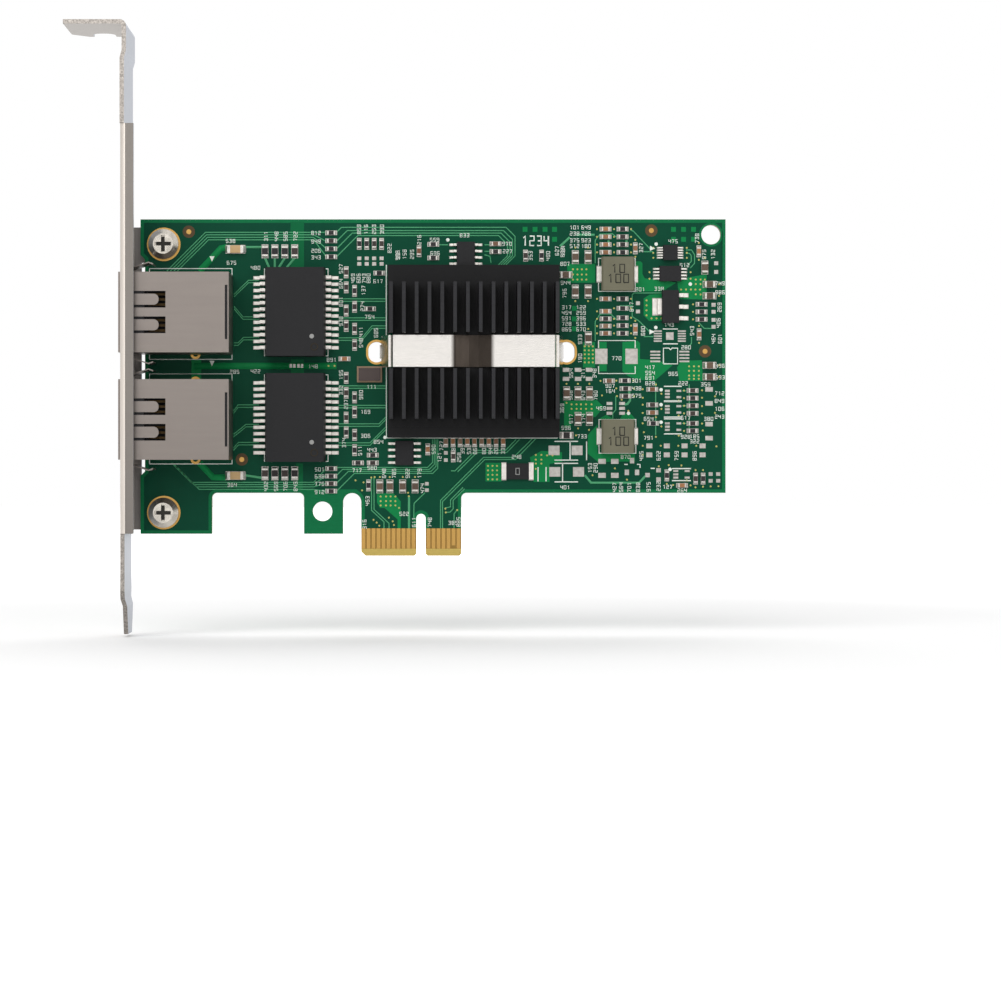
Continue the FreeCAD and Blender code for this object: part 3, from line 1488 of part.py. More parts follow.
def passives(name, places, rise, put):
    """One plain block for each small part."""
    pieces = []
    for i, (x, z, width, height) in enumerate(places):
        pieces.append(put(f"{name}_{i}", x, z, (width, height, rise)))
    return keep(group(name, pieces), name)


def capped_passives(name, places, rise, cap):
    """A body between two metal end caps for each larger part: two groups of solids."""
    bodies = []
    caps = []
    for i, (x, z, width, height) in enumerate(places):
        long_x = float(width) > float(height)
        core = (width - 2 * cap, height, rise) if long_x else (width, height - 2 * cap, rise)
        bodies.append(on_front(f"{name}_body_{i}", x, z, core))
        end = (cap, height, rise) if long_x else (width, cap, rise)
        for way in SIDES:
            shift_x = way * (width - cap) / 2 if long_x else ZERO
            shift_z = ZERO if long_x else way * (height - cap) / 2
            caps.append(on_front(f"{name}_cap_{i}_{way + 1}", x + shift_x, z + shift_z, end))
    keep(group(f"{name}_bodies", bodies), f"{name}_bodies")
    keep(group(f"{name}_caps", caps), f"{name}_caps")


SMALL = (s.small_length, s.small_width)
TINY = (s.tiny_length, s.tiny_width)
LARGE = (s.large_length, s.large_width)
FILM = (s.film_length, s.film_width)


def build_passives():
    passives("small_resistors", small_resistor_places(), s.small_rise, on_front)
    passives("small_capacitors", small_capacitor_places(), s.small_rise, on_front)
    passives("back_capacitors", back_capacitor_places(), s.tiny_rise, on_back)
    capped_passives("large_capacitor", large_capacitor_places(), s.large_rise, s.large_cap)
    passives("large_resistors", large_resistor_places(), s.small_rise, on_front)

    width = s.sense_width - 2 * s.sense_terminal
    keep(on_front("sense_resistor", s.sense_x, s.sense_z, (width, s.sense_height, s.sense_rise)),
         "sense_resistor")
    ends = []
    for way in SIDES:
        x = s.sense_x + way * (s.sense_width - s.sense_terminal) / 2
        ends.append(on_front(f"sense_terminal_{way + 1}", x, s.sense_z,
                             (s.sense_terminal, s.sense_height, s.sense_rise)))
    keep(group("sense_resistor_terminals", ends), "sense_resistor_terminals")


def build_labels():
    """Two white stickers on the solder side, with rounded corners."""
    right = s.large_label_left + s.large_label_width
    spans = (
        ("large_label", s.large_label_left, right, s.large_label_height),
        ("small_label", s.large_label_left - s.small_label_gap - s.small_label_width,
         s.large_label_left - s.small_label_gap, s.small_label_height),
    )
    for name, low, high, height in spans:
        body = new_body(name)
        corners = rectangle(low, high, s.label_top - height, s.label_top, s.label_radius)
        sketch = outline(body, f"{name}_outline", "XZ_Plane", corners, offset=-half_board)
        pad(body, sketch, s.label_thickness, reverse=True)
        keep(body, name)


def build_model():
    build_board()
    build_fingers()
    build_bracket()
    screws = [build_screw(f"{side}_bracket_screw", level) for side, level in screw_levels.items()]
    keep(group("bracket_screws", screws), "bracket_screws")
    for side, level in jack_levels.items():
        build_shield(side, level)
        build_housing(side, level)
        build_contacts(side, level)
        build_lamps(side, level)
    build_magnetics()
    build_memory_chips()
    build_power_chips()
    build_crystal()
    build_inductors()
    build_controller()
    build_heat_sink()
    build_clip()
    build_passives()
    build_labels()


def check_model():
    for thing in doc.Objects:
        if "Invalid" in thing.State or "Error" in thing.State:
            raise RuntimeError(f"{thing.Label} failed: {thing.State}")
    for node in nodes:
        if node.Shape.isNull() or not node.Shape.isValid():
            raise RuntimeError(f"{node.Label} has no valid shape")


build_model()
doc.recompute()
check_model()
os.makedirs("parts", exist_ok=True)
for node in nodes:
    node.Shape.exportStep(os.path.join("parts", f"{node.Label}.step"))
    print(f"{node.Label}: {len(node.Shape.Solids)} solids, {node.Shape.Volume:.2f} mm3")
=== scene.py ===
"""Looks of a two-port network interface card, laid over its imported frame."""

import math
import random

import bmesh
import bpy
from bpy.props import FloatProperty, FloatVectorProperty, PointerProperty
from mathutils import Matrix, Vector


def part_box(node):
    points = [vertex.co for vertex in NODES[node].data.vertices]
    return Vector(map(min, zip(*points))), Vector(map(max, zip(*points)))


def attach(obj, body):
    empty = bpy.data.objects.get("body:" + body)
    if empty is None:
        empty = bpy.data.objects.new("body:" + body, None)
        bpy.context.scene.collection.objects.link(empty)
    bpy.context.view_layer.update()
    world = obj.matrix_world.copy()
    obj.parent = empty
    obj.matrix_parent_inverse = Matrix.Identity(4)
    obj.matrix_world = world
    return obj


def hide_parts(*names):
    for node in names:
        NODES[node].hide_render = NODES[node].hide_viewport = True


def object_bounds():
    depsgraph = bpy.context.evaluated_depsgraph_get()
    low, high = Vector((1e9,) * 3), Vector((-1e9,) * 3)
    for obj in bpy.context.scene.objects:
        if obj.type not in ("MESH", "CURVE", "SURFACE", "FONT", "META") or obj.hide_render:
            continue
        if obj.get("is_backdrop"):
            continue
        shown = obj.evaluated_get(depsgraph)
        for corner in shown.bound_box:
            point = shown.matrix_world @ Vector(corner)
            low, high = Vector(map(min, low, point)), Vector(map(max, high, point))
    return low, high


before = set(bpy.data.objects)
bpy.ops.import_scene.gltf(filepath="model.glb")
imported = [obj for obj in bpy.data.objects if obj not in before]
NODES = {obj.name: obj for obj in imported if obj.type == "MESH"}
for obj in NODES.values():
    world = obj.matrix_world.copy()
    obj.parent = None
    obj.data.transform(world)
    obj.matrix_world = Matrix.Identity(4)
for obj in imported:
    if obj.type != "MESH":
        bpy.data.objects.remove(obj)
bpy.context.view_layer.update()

bl_info = {
    "name": "Network card looks",
    "version": (1, 0, 0),
    "blender": (4, 5, 0),
    "location": "3D View > Sidebar > Card",
    "description": "Finishes, printed artwork, pads and small parts of a network card",
    "category": "Object",
}

MM = 0.001


def tone(red, green, blue):
    """A colour given as it shows on a screen, 0 to 255, as linear values."""
    def linear(value):
        value = value / 255
        return value / 12.92 if value <= 0.04045 else ((value + 0.055) / 1.055) ** 2.4
    return linear(red), linear(green), linear(blue)


def colour(name, description, *screen):
    return FloatVectorProperty(name=name, description=description, subtype="COLOR", size=3,
                               min=0.0, max=1.0, default=tone(*screen))


def length(name, description, millimetres):
    return FloatProperty(name=name, description=description, subtype="DISTANCE", unit="LENGTH",
                         default=millimetres * MM)


class CardColours(bpy.types.PropertyGroup):
    """Colours of the card's finishes, as they show on a screen."""
    mask: colour("Solder mask", "Mask over the copper planes", 10, 68, 48)
    rim: colour("Bare laminate", "Mask where no copper lies under it", 18, 106, 64)
    edge: colour("Board edge", "Cut edge of the laminate", 120, 112, 62)
    pour: colour("Pour", "Mask over a copper pour", 20, 124, 68)
    trace: colour("Trace", "Mask over a trace", 80, 158, 112)
    contact_zone: colour("Contact zone", "Laminate with no mask, round the contacts", 150, 118, 62)
    bevel: colour("Bevel", "Laminate below the contacts", 196, 172, 96)
    keepout: colour("Fiducial ring", "Bare laminate round a fiducial", 80, 62, 38)
    # A dark tone, used only for the ring of painted shade on each magnetics module
    hole: colour("Hole", "Inside of a plated hole", 40, 34, 24)
    mark: colour("Package print", "Numbers on the packages", 150, 150, 148)
    ink: colour("Dark print", "Numbers on the inductors", 34, 34, 30)
    via: colour("Via", "Small plated holes under thin mask", 182, 188, 112)
    gold: colour("Gold", "Plating of contacts and rings", 178, 140, 78)
    silk: colour("Print", "Printed marks on the board", 226, 232, 224)
    tin: colour("Tin", "Leads, end caps and solder", 196, 192, 186)
    bracket: colour("Bracket", "Plated steel of the bracket", 148, 142, 136)
    # Painted sheen: a pale bluish tone that the plated face towards the board takes in place of its
    # reflections
    bracket_inside: colour("Bracket inside", "Face of the bracket towards the board", 178, 182, 190)
    shield: colour("Shield", "Shields of the jacks", 122, 115, 110)
    screw: colour("Screw", "Bracket screws", 192, 186, 176)
    black_moulding: colour("Black moulding", "Jack inserts and packages", 30, 30, 32)
    sink: colour("Heat sink", "Black anodised aluminium", 19, 19, 20)
    # Painted highlight: a lighter tone for the tops of the fins
    fin_top: colour("Fin tops", "Worn tops of the fins", 44, 44, 46)
    clip: colour("Clip", "Spring steel of the clip", 216, 212, 207)
    # Painted reflection: the dark tone that the clip takes where it dips
    clip_dip: colour("Clip dip", "Dark dip of the clip", 58, 52, 47)
    inductor: colour("Inductor", "Pressed ferrite", 108, 106, 88)
    capacitor: colour("Capacitor", "Ceramic of the capacitors", 128, 92, 66)
    crystal: colour("Crystal", "Ceramic of the crystal", 140, 118, 96)
    lid: colour("Crystal lid", "Metal lid of the crystal", 68, 61, 59)
    label: colour("Label", "Paper labels", 232, 232, 228)
    lens: colour("Lamp lens", "Status lamps", 214, 220, 200)
    pad: colour("Thermal pad", "Pad under the heat sink", 150, 150, 152)
    floor: colour("Floor", "Floor under the card", 250, 250, 250)


class CardStage(bpy.types.PropertyGroup):
    """Camera, lights and floor."""
    distance: length("Camera distance", "From the lens to the card's component face", 600.0)
    centre_x: length("Camera X", "Camera's place along the board", -0.2)
    centre_z: length("Camera height", "Camera's height over the key notch's foot", 19.18)
    focal: FloatProperty(name="Focal length", description="Lens, in mm", default=107.9, min=10)
    shift_x: FloatProperty(name="Shift X", description="Lens shift to the side", default=0.0804)
    shift_y: FloatProperty(name="Shift Y", description="Lens shift upward", default=-0.0405)
    floor_drop: length("Floor gap", "Gap between the card's foot and the floor", 0.6)
    key_power: FloatProperty(name="Key light", description="Power of the large light", default=7.0)
    fill_power: FloatProperty(name="Fill light", description="Power of the fill light", default=2.9)
    rim_power: FloatProperty(name="Top light", description="Power of the top light", default=2.6)
    sky: FloatProperty(name="Sky", description="Strength of the even light", default=0.3, min=0)


# Where finishes and outlines change on the card, in millimetres
CONTACT_TOP = 5.5
CONTACT_FOOT = 1.42
CONTACT_LEFT = -12.5
CONTACT_RIGHT = 8.8
TAB_LEFT = -24.2
TAB_RIGHT = -12.6
TAB_TOP = 13.3
FLANGE_TOP = 84.9
FLANGE_FOOT = 4.7
SCREW_HEAD_RADIUS = 3.0
# The screws' cross recess, where shade is painted
RECESS_REACH = 1.9
RECESS_DEPTH = 0.05
# How deep the fin tops reach, where their highlight is painted
FIN_TOP_DEPTH = 0.2
# Where the clip dips, and its dark reflection is painted
CLIP_DIP_X = 10.2
CLIP_DIP_REACH = 4.0
CLIP_DIP_EDGE = 0.4


# Materials

def shade(base, factor):
    return tuple(min(1.0, value * factor) for value in base)


class Finish:
    """Builds one procedural material on object coordinates."""

    def __init__(self, name):
        self.material = bpy.data.materials.new(name)
        self.material.use_nodes = True
        self.tree = self.material.node_tree
        self.tree.nodes.clear()
        output = self.add("ShaderNodeOutputMaterial")
        self.shader = self.add("ShaderNodeBsdfPrincipled")
        self.link(self.shader, "BSDF", output, "Surface")
        self.coordinates = self.add("ShaderNodeTexCoord")

    def add(self, kind, **values):
        node = self.tree.nodes.new(kind)
        for key, value in values.items():
            setattr(node, key, value)
        return node

    def link(self, source, output, target, name):
        self.tree.links.new(source.outputs[output], target.inputs[name])

    def set(self, **values):
        """Sets inputs of the shader; an underscore in a key stands for a space."""
        for key, value in values.items():
            self.shader.inputs[key.replace("_", " ")].default_value = value

    def axes(self, output):
        """X, Y and Z of the surface's place, which is Object, or of its Normal."""
        split = self.add("ShaderNodeSeparateXYZ")
        self.link(self.coordinates, output, split, "Vector")
        return split

    def noise(self, scale, detail=3.0, stretch=(1, 1, 1)):
        """Noise on object coordinates that are first scaled by a factor on each axis."""
        mapping = self.add("ShaderNodeMapping")
        mapping.inputs["Scale"].default_value = stretch
        self.link(self.coordinates, "Object", mapping, "Vector")
        noise = self.add("ShaderNodeTexNoise")
        noise.inputs["Scale"].default_value = scale
        noise.inputs["Detail"].default_value = detail
        self.link(mapping, "Vector", noise, "Vector")
        return noise

    def mix(self, factor, low, high):
        """Mixes two colours, or two sockets, by a node's first output."""
        node = self.add("ShaderNodeMix", data_type="RGBA")
        self.link(factor, 0, node, 0)
        for index, value in ((6, low), (7, high)):
            if isinstance(value, bpy.types.NodeSocket):
                self.tree.links.new(value, node.inputs[index])
            else:
                node.inputs[index].default_value = (*value, 1)
        return node.outputs[2]

    def mottle(self, source, base, low, high):
        """Mixes two shades of one colour."""
        return self.mix(source, shade(base, low), shade(base, high))

    def calculate(self, operation, source, output, other=0.0):
        """A Math node on one output and a number, or another node's first output."""
        node = self.add("ShaderNodeMath", operation=operation)
        self.link(source, output, node, 0)
        if isinstance(other, bpy.types.Node):
            self.link(other, 0, node, 1)
        else:
            node.inputs[1].default_value = other
        return node

    def map_range(self, source, output, **limits):
        """Maps an output between limits; an underscore in a key stands for a space."""
        node = self.add("ShaderNodeMapRange")
        for key, value in limits.items():
            node.inputs[key.replace("_", " ")].default_value = value
        self.link(source, output, node, "Value")
        return node

    def base(self, socket=None):
        """Links the base colour to a socket; without one, gives the socket that it has."""
        target = self.shader.inputs["Base Color"]
        if socket:
            self.tree.links.new(socket, target)
        return target.links[0].from_socket

    def roughen(self, source, middle, reach):
        spread = self.map_range(source, "Fac", To_Min=middle - reach, To_Max=middle + reach)
        self.link(spread, 0, self.shader, "Roughness")

    def relief(self, source, strength, depth):
        """Bumps of a depth in millimetres."""
        bump = self.add("ShaderNodeBump")
        bump.inputs["Strength"].default_value = strength
        bump.inputs["Distance"].default_value = depth * MM
        self.link(source, "Fac", bump, "Height")
        self.link(bump, "Normal", self.shader, "Normal")


def plain_finish(name, base, roughness, metallic=0.0, grain=900.0, tint=0.12, bump=0.25,
                 stretch=(1, 1, 1), gloss=0.2):
    """A finish with a slight mottle, uneven gloss and a fine grain."""
    finish = Finish(name)
    cloud = finish.noise(grain * 0.25, 4.0, stretch)
    fine = finish.noise(grain * 2.0, 2.0, stretch)
    finish.base(finish.mottle(cloud, base, 1 - tint, 1 + tint))
    finish.roughen(fine, roughness, 0.06)
    finish.relief(fine, bump, 0.03)
    finish.set(Metallic=metallic, Specular_IOR_Level=gloss)
    return finish


def varied_finish(name, tones):
    """A finish whose copies each take one of the given tones."""
    finish = Finish(name)
    tone_of_copy = finish.add("ShaderNodeAttribute", attribute_name="tone")
    ramp = finish.add("ShaderNodeValToRGB")
    ramp.color_ramp.interpolation = "CONSTANT"
    elements = ramp.color_ramp.elements
    for number, entry in enumerate(tones):
        if number >= len(elements):
            elements.new(number / len(tones))
        elements[number].position = number / len(tones)
        elements[number].color = (*tone(*entry), 1)
    finish.link(tone_of_copy, "Fac", ramp, "Fac")
    cloud = finish.noise(2500.0)
    dark = finish.add("ShaderNodeMix", data_type="RGBA", blend_type="MULTIPLY")
    dark.inputs[0].default_value = 1.0
    finish.link(ramp, "Color", dark, 6)
    finish.tree.links.new(finish.mottle(cloud, (1, 1, 1), 0.75, 1), dark.inputs[7])
    finish.base(dark.outputs[2])
    finish.roughen(cloud, 0.5, 0.05)
    finish.relief(cloud, 0.3, 0.02)
    finish.set(Specular_IOR_Level=0.25)
    return finish


def board_finish(colours):
    """Bare laminate under mask on both faces, a cut edge, and a bevel below the contacts."""
    finish = Finish("board_laminate")
    weave = finish.noise(700.0, 3.0, (1, 1, 6))
    face = finish.mottle(weave, colours.rim, 0.88, 1.12)
    edge = finish.mottle(weave, colours.edge, 0.8, 1.2)
    tan = finish.mottle(weave, colours.contact_zone, 0.85, 1.1)
    pale = finish.mottle(weave, colours.bevel, 0.9, 1.08)
    lean = finish.calculate("ABSOLUTE", finish.axes("Normal"), "Y")
    flat = finish.calculate("GREATER_THAN", lean, 0, 0.99)
    place = finish.axes("Object")
    right = finish.calculate("GREATER_THAN", place, "X", CONTACT_LEFT * MM)
    low = finish.calculate("LESS_THAN", place, "Z", CONTACT_TOP * MM)
    foot = finish.calculate("LESS_THAN", place, "Z", CONTACT_FOOT * MM)
    bare = finish.calculate("MULTIPLY", low, 0, right)
    finish.base(finish.mix(bare, finish.mix(flat, edge, face), finish.mix(foot, tan, pale)))
    finish.roughen(weave, 0.38, 0.06)
    finish.relief(weave, 0.12, 0.02)
    finish.set(Specular_IOR_Level=0.06)
    return finish


def bracket_finish(colours):
    """Plated sheet: a painted highlight on the round bends, painted shade on the flat flanges, rough cut
    edges above and below them, and a painted pale sheen on the face towards the board.
    """
    finish = plain_finish("bracket", colours.bracket, 0.42, metallic=1.0, tint=0.05, stretch=(6, 6, 0.4))
    body = finish.base()
    normal = finish.axes("Normal")
    place = finish.axes("Object")
    streaks = finish.noise(1500.0, 2.0, (1, 1, 0.002))
    # Painted shade: the flat forward faces of the flanges take a darker copy of the plating
    flange_shade = finish.mottle(streaks, colours.bracket, 0.42, 0.75)
    # Painted highlight: the round bends take a brighter copy of the plating
    bend_highlight = finish.mottle(streaks, colours.bracket, 1.7, 2.3)
    rough = finish.mottle(finish.noise(3500.0, 2.0), colours.bracket, 0.05, 1.9)
    brushed = finish.noise(700.0, 4.0, (6, 6, 0.3))
    # Painted sheen: the face towards the board takes a pale bluish, brushed copy of the plating
    inside_sheen = finish.mottle(brushed, colours.bracket_inside, 0.82, 1.1)
    ahead = finish.calculate("LESS_THAN", normal, "Y", -0.2)
    # Mask of the round bends, where the highlight is painted
    bent = finish.calculate("LESS_THAN", normal, "X", -0.15)
    # Mask of the face towards the board, where the sheen is painted
    inner = finish.calculate("GREATER_THAN", normal, "X", 0.5)
    above = finish.calculate("GREATER_THAN", place, "Z", FLANGE_TOP * MM)
    below = finish.calculate("LESS_THAN", place, "Z", FLANGE_FOOT * MM)
    front = finish.mix(below, finish.mix(above, finish.mix(bent, flange_shade, bend_highlight), rough), rough)
    finish.base(finish.mix(ahead, finish.mix(inner, body, inside_sheen), front))
    return finish


def screw_finish(colours):
    """Bright plating with a strong mottle of painted reflections, and painted shade down in the cross
    recess.
    """
    # Painted reflections: the strong coarse mottle of the plating stands in for the dome's bright and dark
    # reflections
    finish = plain_finish("screw", colours.screw, 0.24, metallic=1.0, grain=2600.0, tint=0.45, bump=0.2)
    low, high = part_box("bracket_screws")
    nearest = finish.add("ShaderNodeMath", operation="MINIMUM")
    for index, level in enumerate((low.z + SCREW_HEAD_RADIUS * MM, high.z - SCREW_HEAD_RADIUS * MM)):
        reach = finish.add("ShaderNodeVectorMath", operation="DISTANCE")
        finish.link(finish.coordinates, "Object", reach, 0)
        reach.inputs[1].default_value = ((low.x + high.x) / 2, low.y, level)
        finish.link(reach, "Value", nearest, index)
    near = finish.calculate("LESS_THAN", nearest, 0, RECESS_REACH * MM)
    deep = finish.calculate("GREATER_THAN", finish.axes("Object"), "Y", low.y + RECESS_DEPTH * MM)
    body = finish.base()
    # Painted shade: the floor of the cross recess takes a near-black copy of the plating
    recess = finish.mix(deep, body, shade(colours.screw, 0.06))
    finish.base(finish.mix(near, body, recess))
    return finish


def sink_finish(colours):
    """Black anodising, with a painted highlight on the tops of the fins, mottled like scratches."""
    finish = plain_finish("sink", colours.sink, 0.45, stretch=(1, 1, 0.3), gloss=0.12)
    scratches = finish.noise(1500.0, 2.0, (0.3, 1, 3))
    top_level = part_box("heat_sink")[0].y + FIN_TOP_DEPTH * MM
    top = finish.calculate("LESS_THAN", finish.axes("Object"), "Y", top_level)
    # Painted highlight on the fin tops, with a scratch-like mottle
    finish.base(finish.mix(top, finish.base(), finish.mottle(scratches, colours.fin_top, 0.7, 1.3)))
    return finish


def clip_finish(colours):
    """Polished spring steel, with a painted dark reflection where it dips to the sink."""
    finish = plain_finish("clip", colours.clip, 0.22, metallic=1.0, tint=0.04, stretch=(0.4, 4, 4))
    aside = finish.calculate("SUBTRACT", finish.axes("Object"), "X", CLIP_DIP_X * MM)
    away = finish.calculate("ABSOLUTE", aside, 0)
    clear = finish.map_range(away, 0, From_Min=(CLIP_DIP_REACH - CLIP_DIP_EDGE) * MM,
                             From_Max=(CLIP_DIP_REACH + CLIP_DIP_EDGE) * MM)
    cloud = finish.noise(500.0, 3.0, (1, 1, 0.4))
    # Painted reflection: a dark copy of the steel along the clip's dip
    finish.base(finish.mix(clear, finish.mottle(cloud, colours.clip_dip, 0.6, 1.4), finish.base()))
    return finish


# Tones that the bodies of the chip parts take, as they show on a screen
BODY_TONES = {
    "capacitor_body": ((132, 94, 68), (150, 108, 76), (118, 88, 68), (164, 116, 78), (140, 112, 88),
                       (120, 80, 56)),
    "large_body": ((96, 80, 66), (104, 86, 70), (88, 72, 60)),
    "resistor_body": ((34, 32, 34), (52, 44, 42), (60, 52, 48), (40, 38, 38)),
}


def make_finishes(colours):
    """One material for each kind of surface on the card."""
    finishes = {"board": board_finish(colours), "bracket": bracket_finish(colours),
                "screw": screw_finish(colours), "sink": sink_finish(colours), "clip": clip_finish(colours)}
    for key, tones in BODY_TONES.items():
        finishes[key] = varied_finish(key, tones)

    def add(key, *args, **values):
        finishes[key] = plain_finish(key, *args, **values)

    for key, base in (("mask", colours.mask), ("pour", colours.pour), ("trace", colours.trace),
                      ("rim", shade(colours.rim, 0.85))):
        add(key, base, 0.35, tint=0.06, gloss=0.06, bump=0.12)
    add("via", colours.via, 0.4, tint=0.15)
    # Painted shade: the gold jack contacts are darkened to near black, as they lie in the shade inside the
    # jacks
    add("contact", shade(colours.gold, 0.1), 0.5, metallic=0.5)
    add("print_black", (0.012, 0.012, 0.012), 0.6, tint=0.1)
    add("silk", colours.silk, 0.6, tint=0.05)
    add("mark", colours.mark, 0.6, tint=0.08)
    add("ink", colours.ink, 0.6, tint=0.1)
    add("keepout", colours.keepout, 0.5)
    # Painted shade: the dark ring on each magnetics module
    add("hole", colours.hole, 0.6)
    add("film", tone(190, 160, 116), 0.45)
    add("gold", colours.gold, 0.3, metallic=1.0, tint=0.06)
    add("tin", colours.tin, 0.38, metallic=1.0, grain=6500.0, tint=0.24, bump=0.7)
    add("cap", shade(colours.tin, 0.82), 0.4, metallic=1.0, grain=6500.0, tint=0.36, bump=0.8)
    add("solder", shade(colours.tin, 0.62), 0.45, metallic=1.0, grain=5500.0, tint=0.42, bump=0.9)
    add("shield", colours.shield, 0.4, metallic=1.0, tint=0.05, stretch=(0.4, 5, 5))
    add("moulding", colours.black_moulding, 0.5)
    add("package", shade(colours.black_moulding, 0.75), 0.55, bump=0.5)
    add("inductor", colours.inductor, 0.6, tint=0.2, bump=0.5)
    add("capacitor", colours.capacitor, 0.5, tint=0.2)
    add("crystal", colours.crystal, 0.5)
    add("lid", colours.lid, 0.4, metallic=1.0)
    add("label", colours.label, 0.6, tint=0.03)
    add("lens", colours.lens, 0.25, tint=0.04)
    add("pad", colours.pad, 0.8)
    return {key: finish.material for key, finish in finishes.items()}


# The first entry whose words are in a node's name gives the node's finish
FINISH_OF_NODE = {
    "circuit_board": "board", "edge_contacts": "gold", "mounting_bracket": "bracket",
    "bracket_screws": "screw", "jack_shield": "shield", "jack_housing": "moulding",
    "jack_contacts": "contact", "jack_lamps": "lens", "leads": "tin", "terminals": "tin",
    "magnetics": "package", "memory_chip": "package", "regulator_chip": "package",
    "driver_chip": "package", "power_transistor": "package", "controller_chip": "package",
    "crystal_base": "crystal", "crystal_lid": "lid", "inductor": "inductor", "thermal_pad": "pad",
    "heat_sink_clip": "clip", "heat_sink": "sink", "capacitor_caps": "tin", "capacitor": "capacitor",
    "resistor": "package", "label": "label",
}


def finish_for(node):
    for words, key in FINISH_OF_NODE.items():
        if words in node:
            return key
    raise RuntimeError(f"no finish for {node}")


class CARD_OT_finishes(bpy.types.Operator):
    """Give each piece of the frame its own finish"""
    bl_idname = "card.finishes"
    bl_label = "Finish the pieces"

    def execute(self, context):
        finishes = make_finishes(context.scene.card_colours)
        for name, node in NODES.items():
            node.data.materials.clear()
            node.data.materials.append(finishes[finish_for(name)])
        return {"FINISHED"}


# Drawing on the two faces of the board

# Thicknesses of lines and plates, in millimetres
LINE_THICKNESS = 0.015
SHEET = 0.012
# Corners nearer than this are joined, in metres
WELD = 1e-6
PLATE_WELD = 1e-7


class BoardFace:
    """Takes what is drawn in millimetres, along the board and up it, to one face of the board."""

    def __init__(self, side):
        low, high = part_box("circuit_board")
        self.name = side
        self.way = 1 if side == "front" else -1
        turn = Matrix.Rotation(math.radians(90), 4, "X")
        if side == "front":
            self.matrix = Matrix.Translation((0, low.y, 0)) @ turn
        else:
            back = Matrix.Rotation(math.radians(180), 4, "Z")
            self.matrix = Matrix.Translation((0, high.y, 0)) @ back @ turn
        self.level = self.matrix.translation.y

    def point(self, x, z, height=0.0):
        return Vector((x * self.way * MM, z * MM, height * MM))

    def height_of(self, y):
        """How far a place on Y stands off this face, in millimetres."""
        return (self.level - y) * self.way / MM


def new_object(name, data):
    made = bpy.data.objects.new(name, data)
    bpy.context.scene.collection.objects.link(made)
    return made


def to_piece(name, mesh, matrix, finish):
    """A finished piece: its place in its mesh, its finish set, riding on the card."""
    mesh.transform(matrix)
    mesh.materials.clear()
    mesh.materials.append(finish)
    piece = new_object(name, mesh)
    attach(piece, "root")
    return piece


def baked(holder):
    """The evaluated mesh of a holder; the holder itself is removed."""
    graph = bpy.context.evaluated_depsgraph_get()
    mesh = bpy.data.meshes.new_from_object(holder.evaluated_get(graph), depsgraph=graph)
    bpy.data.objects.remove(holder)
    return mesh


def new_tree(name, sockets):
    """A tree with geometry in and out and the given inputs, and its input node."""
    tree = bpy.data.node_groups.new(name, "GeometryNodeTree")
    tree.interface.new_socket("Geometry", in_out="INPUT", socket_type="NodeSocketGeometry")
    for label, kind in sockets:
        tree.interface.new_socket(label, in_out="INPUT", socket_type=kind)
    tree.interface.new_socket("Geometry", in_out="OUTPUT", socket_type="NodeSocketGeometry")
    tree.is_modifier = True
    return tree, tree.nodes.new("NodeGroupInput")


def chain(tree, links):
    for source, output, target, name in links:
        tree.links.new(source.outputs[output], target.inputs[name])


def close_tree(tree, start, last, output):
    """Ends a tree: what its last node gives is realised and takes the material."""
    realise = tree.nodes.new("GeometryNodeRealizeInstances")
    paint = tree.nodes.new("GeometryNodeSetMaterial")
    end = tree.nodes.new("NodeGroupOutput")
    chain(tree, (
        (last, output, realise, "Geometry"), (realise, "Geometry", paint, "Geometry"),
        (start, "Material", paint, "Material"), (paint, "Geometry", end, "Geometry"),
    ))


def lines_tree():
    """Sweeps a flat bar along each edge of a drawing."""
    tree, start = new_tree("lay_lines", (
        ("Width", "NodeSocketFloat"), ("Thickness", "NodeSocketFloat"), ("Material", "NodeSocketMaterial"),
    ))
    add = tree.nodes.new
    curve = add("GeometryNodeMeshToCurve")
    level = add("GeometryNodeSetCurveNormal")
    level.mode = "Z_UP"
    section = add("GeometryNodeCurvePrimitiveQuadrilateral")
    sweep = add("GeometryNodeCurveToMesh")
    sweep.inputs["Fill Caps"].default_value = True
    chain(tree, (
        (start, "Geometry", curve, "Mesh"), (curve, "Curve", level, "Curve"),
        (level, "Curve", sweep, "Curve"), (start, "Width", section, "Width"),
        (start, "Thickness", section, "Height"), (section, "Curve", sweep, "Profile Curve"),
    ))
    close_tree(tree, start, sweep, "Mesh")
    return tree


def copies_tree():
    """Sets a copy of a source on each point, turned and sized by the point's own values."""
    tree, start = new_tree("place_copies", (
        ("Source", "NodeSocketObject"), ("Material", "NodeSocketMaterial"), ("Seed", "NodeSocketInt"),
    ))
    add = tree.nodes.new

    def own_value(name):
        node = add("GeometryNodeInputNamedAttribute")
        node.data_type = "FLOAT_VECTOR"
        node.inputs["Name"].default_value = name
        return node

    source = add("GeometryNodeObjectInfo")
    turn = own_value("turn")
    size = own_value("size")
    put = add("GeometryNodeInstanceOnPoints")
    chance = add("FunctionNodeRandomValue")
    store = add("GeometryNodeStoreNamedAttribute")
    store.domain = "INSTANCE"
    store.inputs["Name"].default_value = "tone"
    chain(tree, (
        (start, "Source", source, "Object"), (start, "Geometry", put, "Points"),
        (source, "Geometry", put, "Instance"), (turn, "Attribute", put, "Rotation"),
        (size, "Attribute", put, "Scale"), (put, "Instances", store, "Geometry"),
        (start, "Seed", chance, "Seed"), (chance, 1, store, "Value"),
    ))
    close_tree(tree, start, store, "Geometry")
    return tree


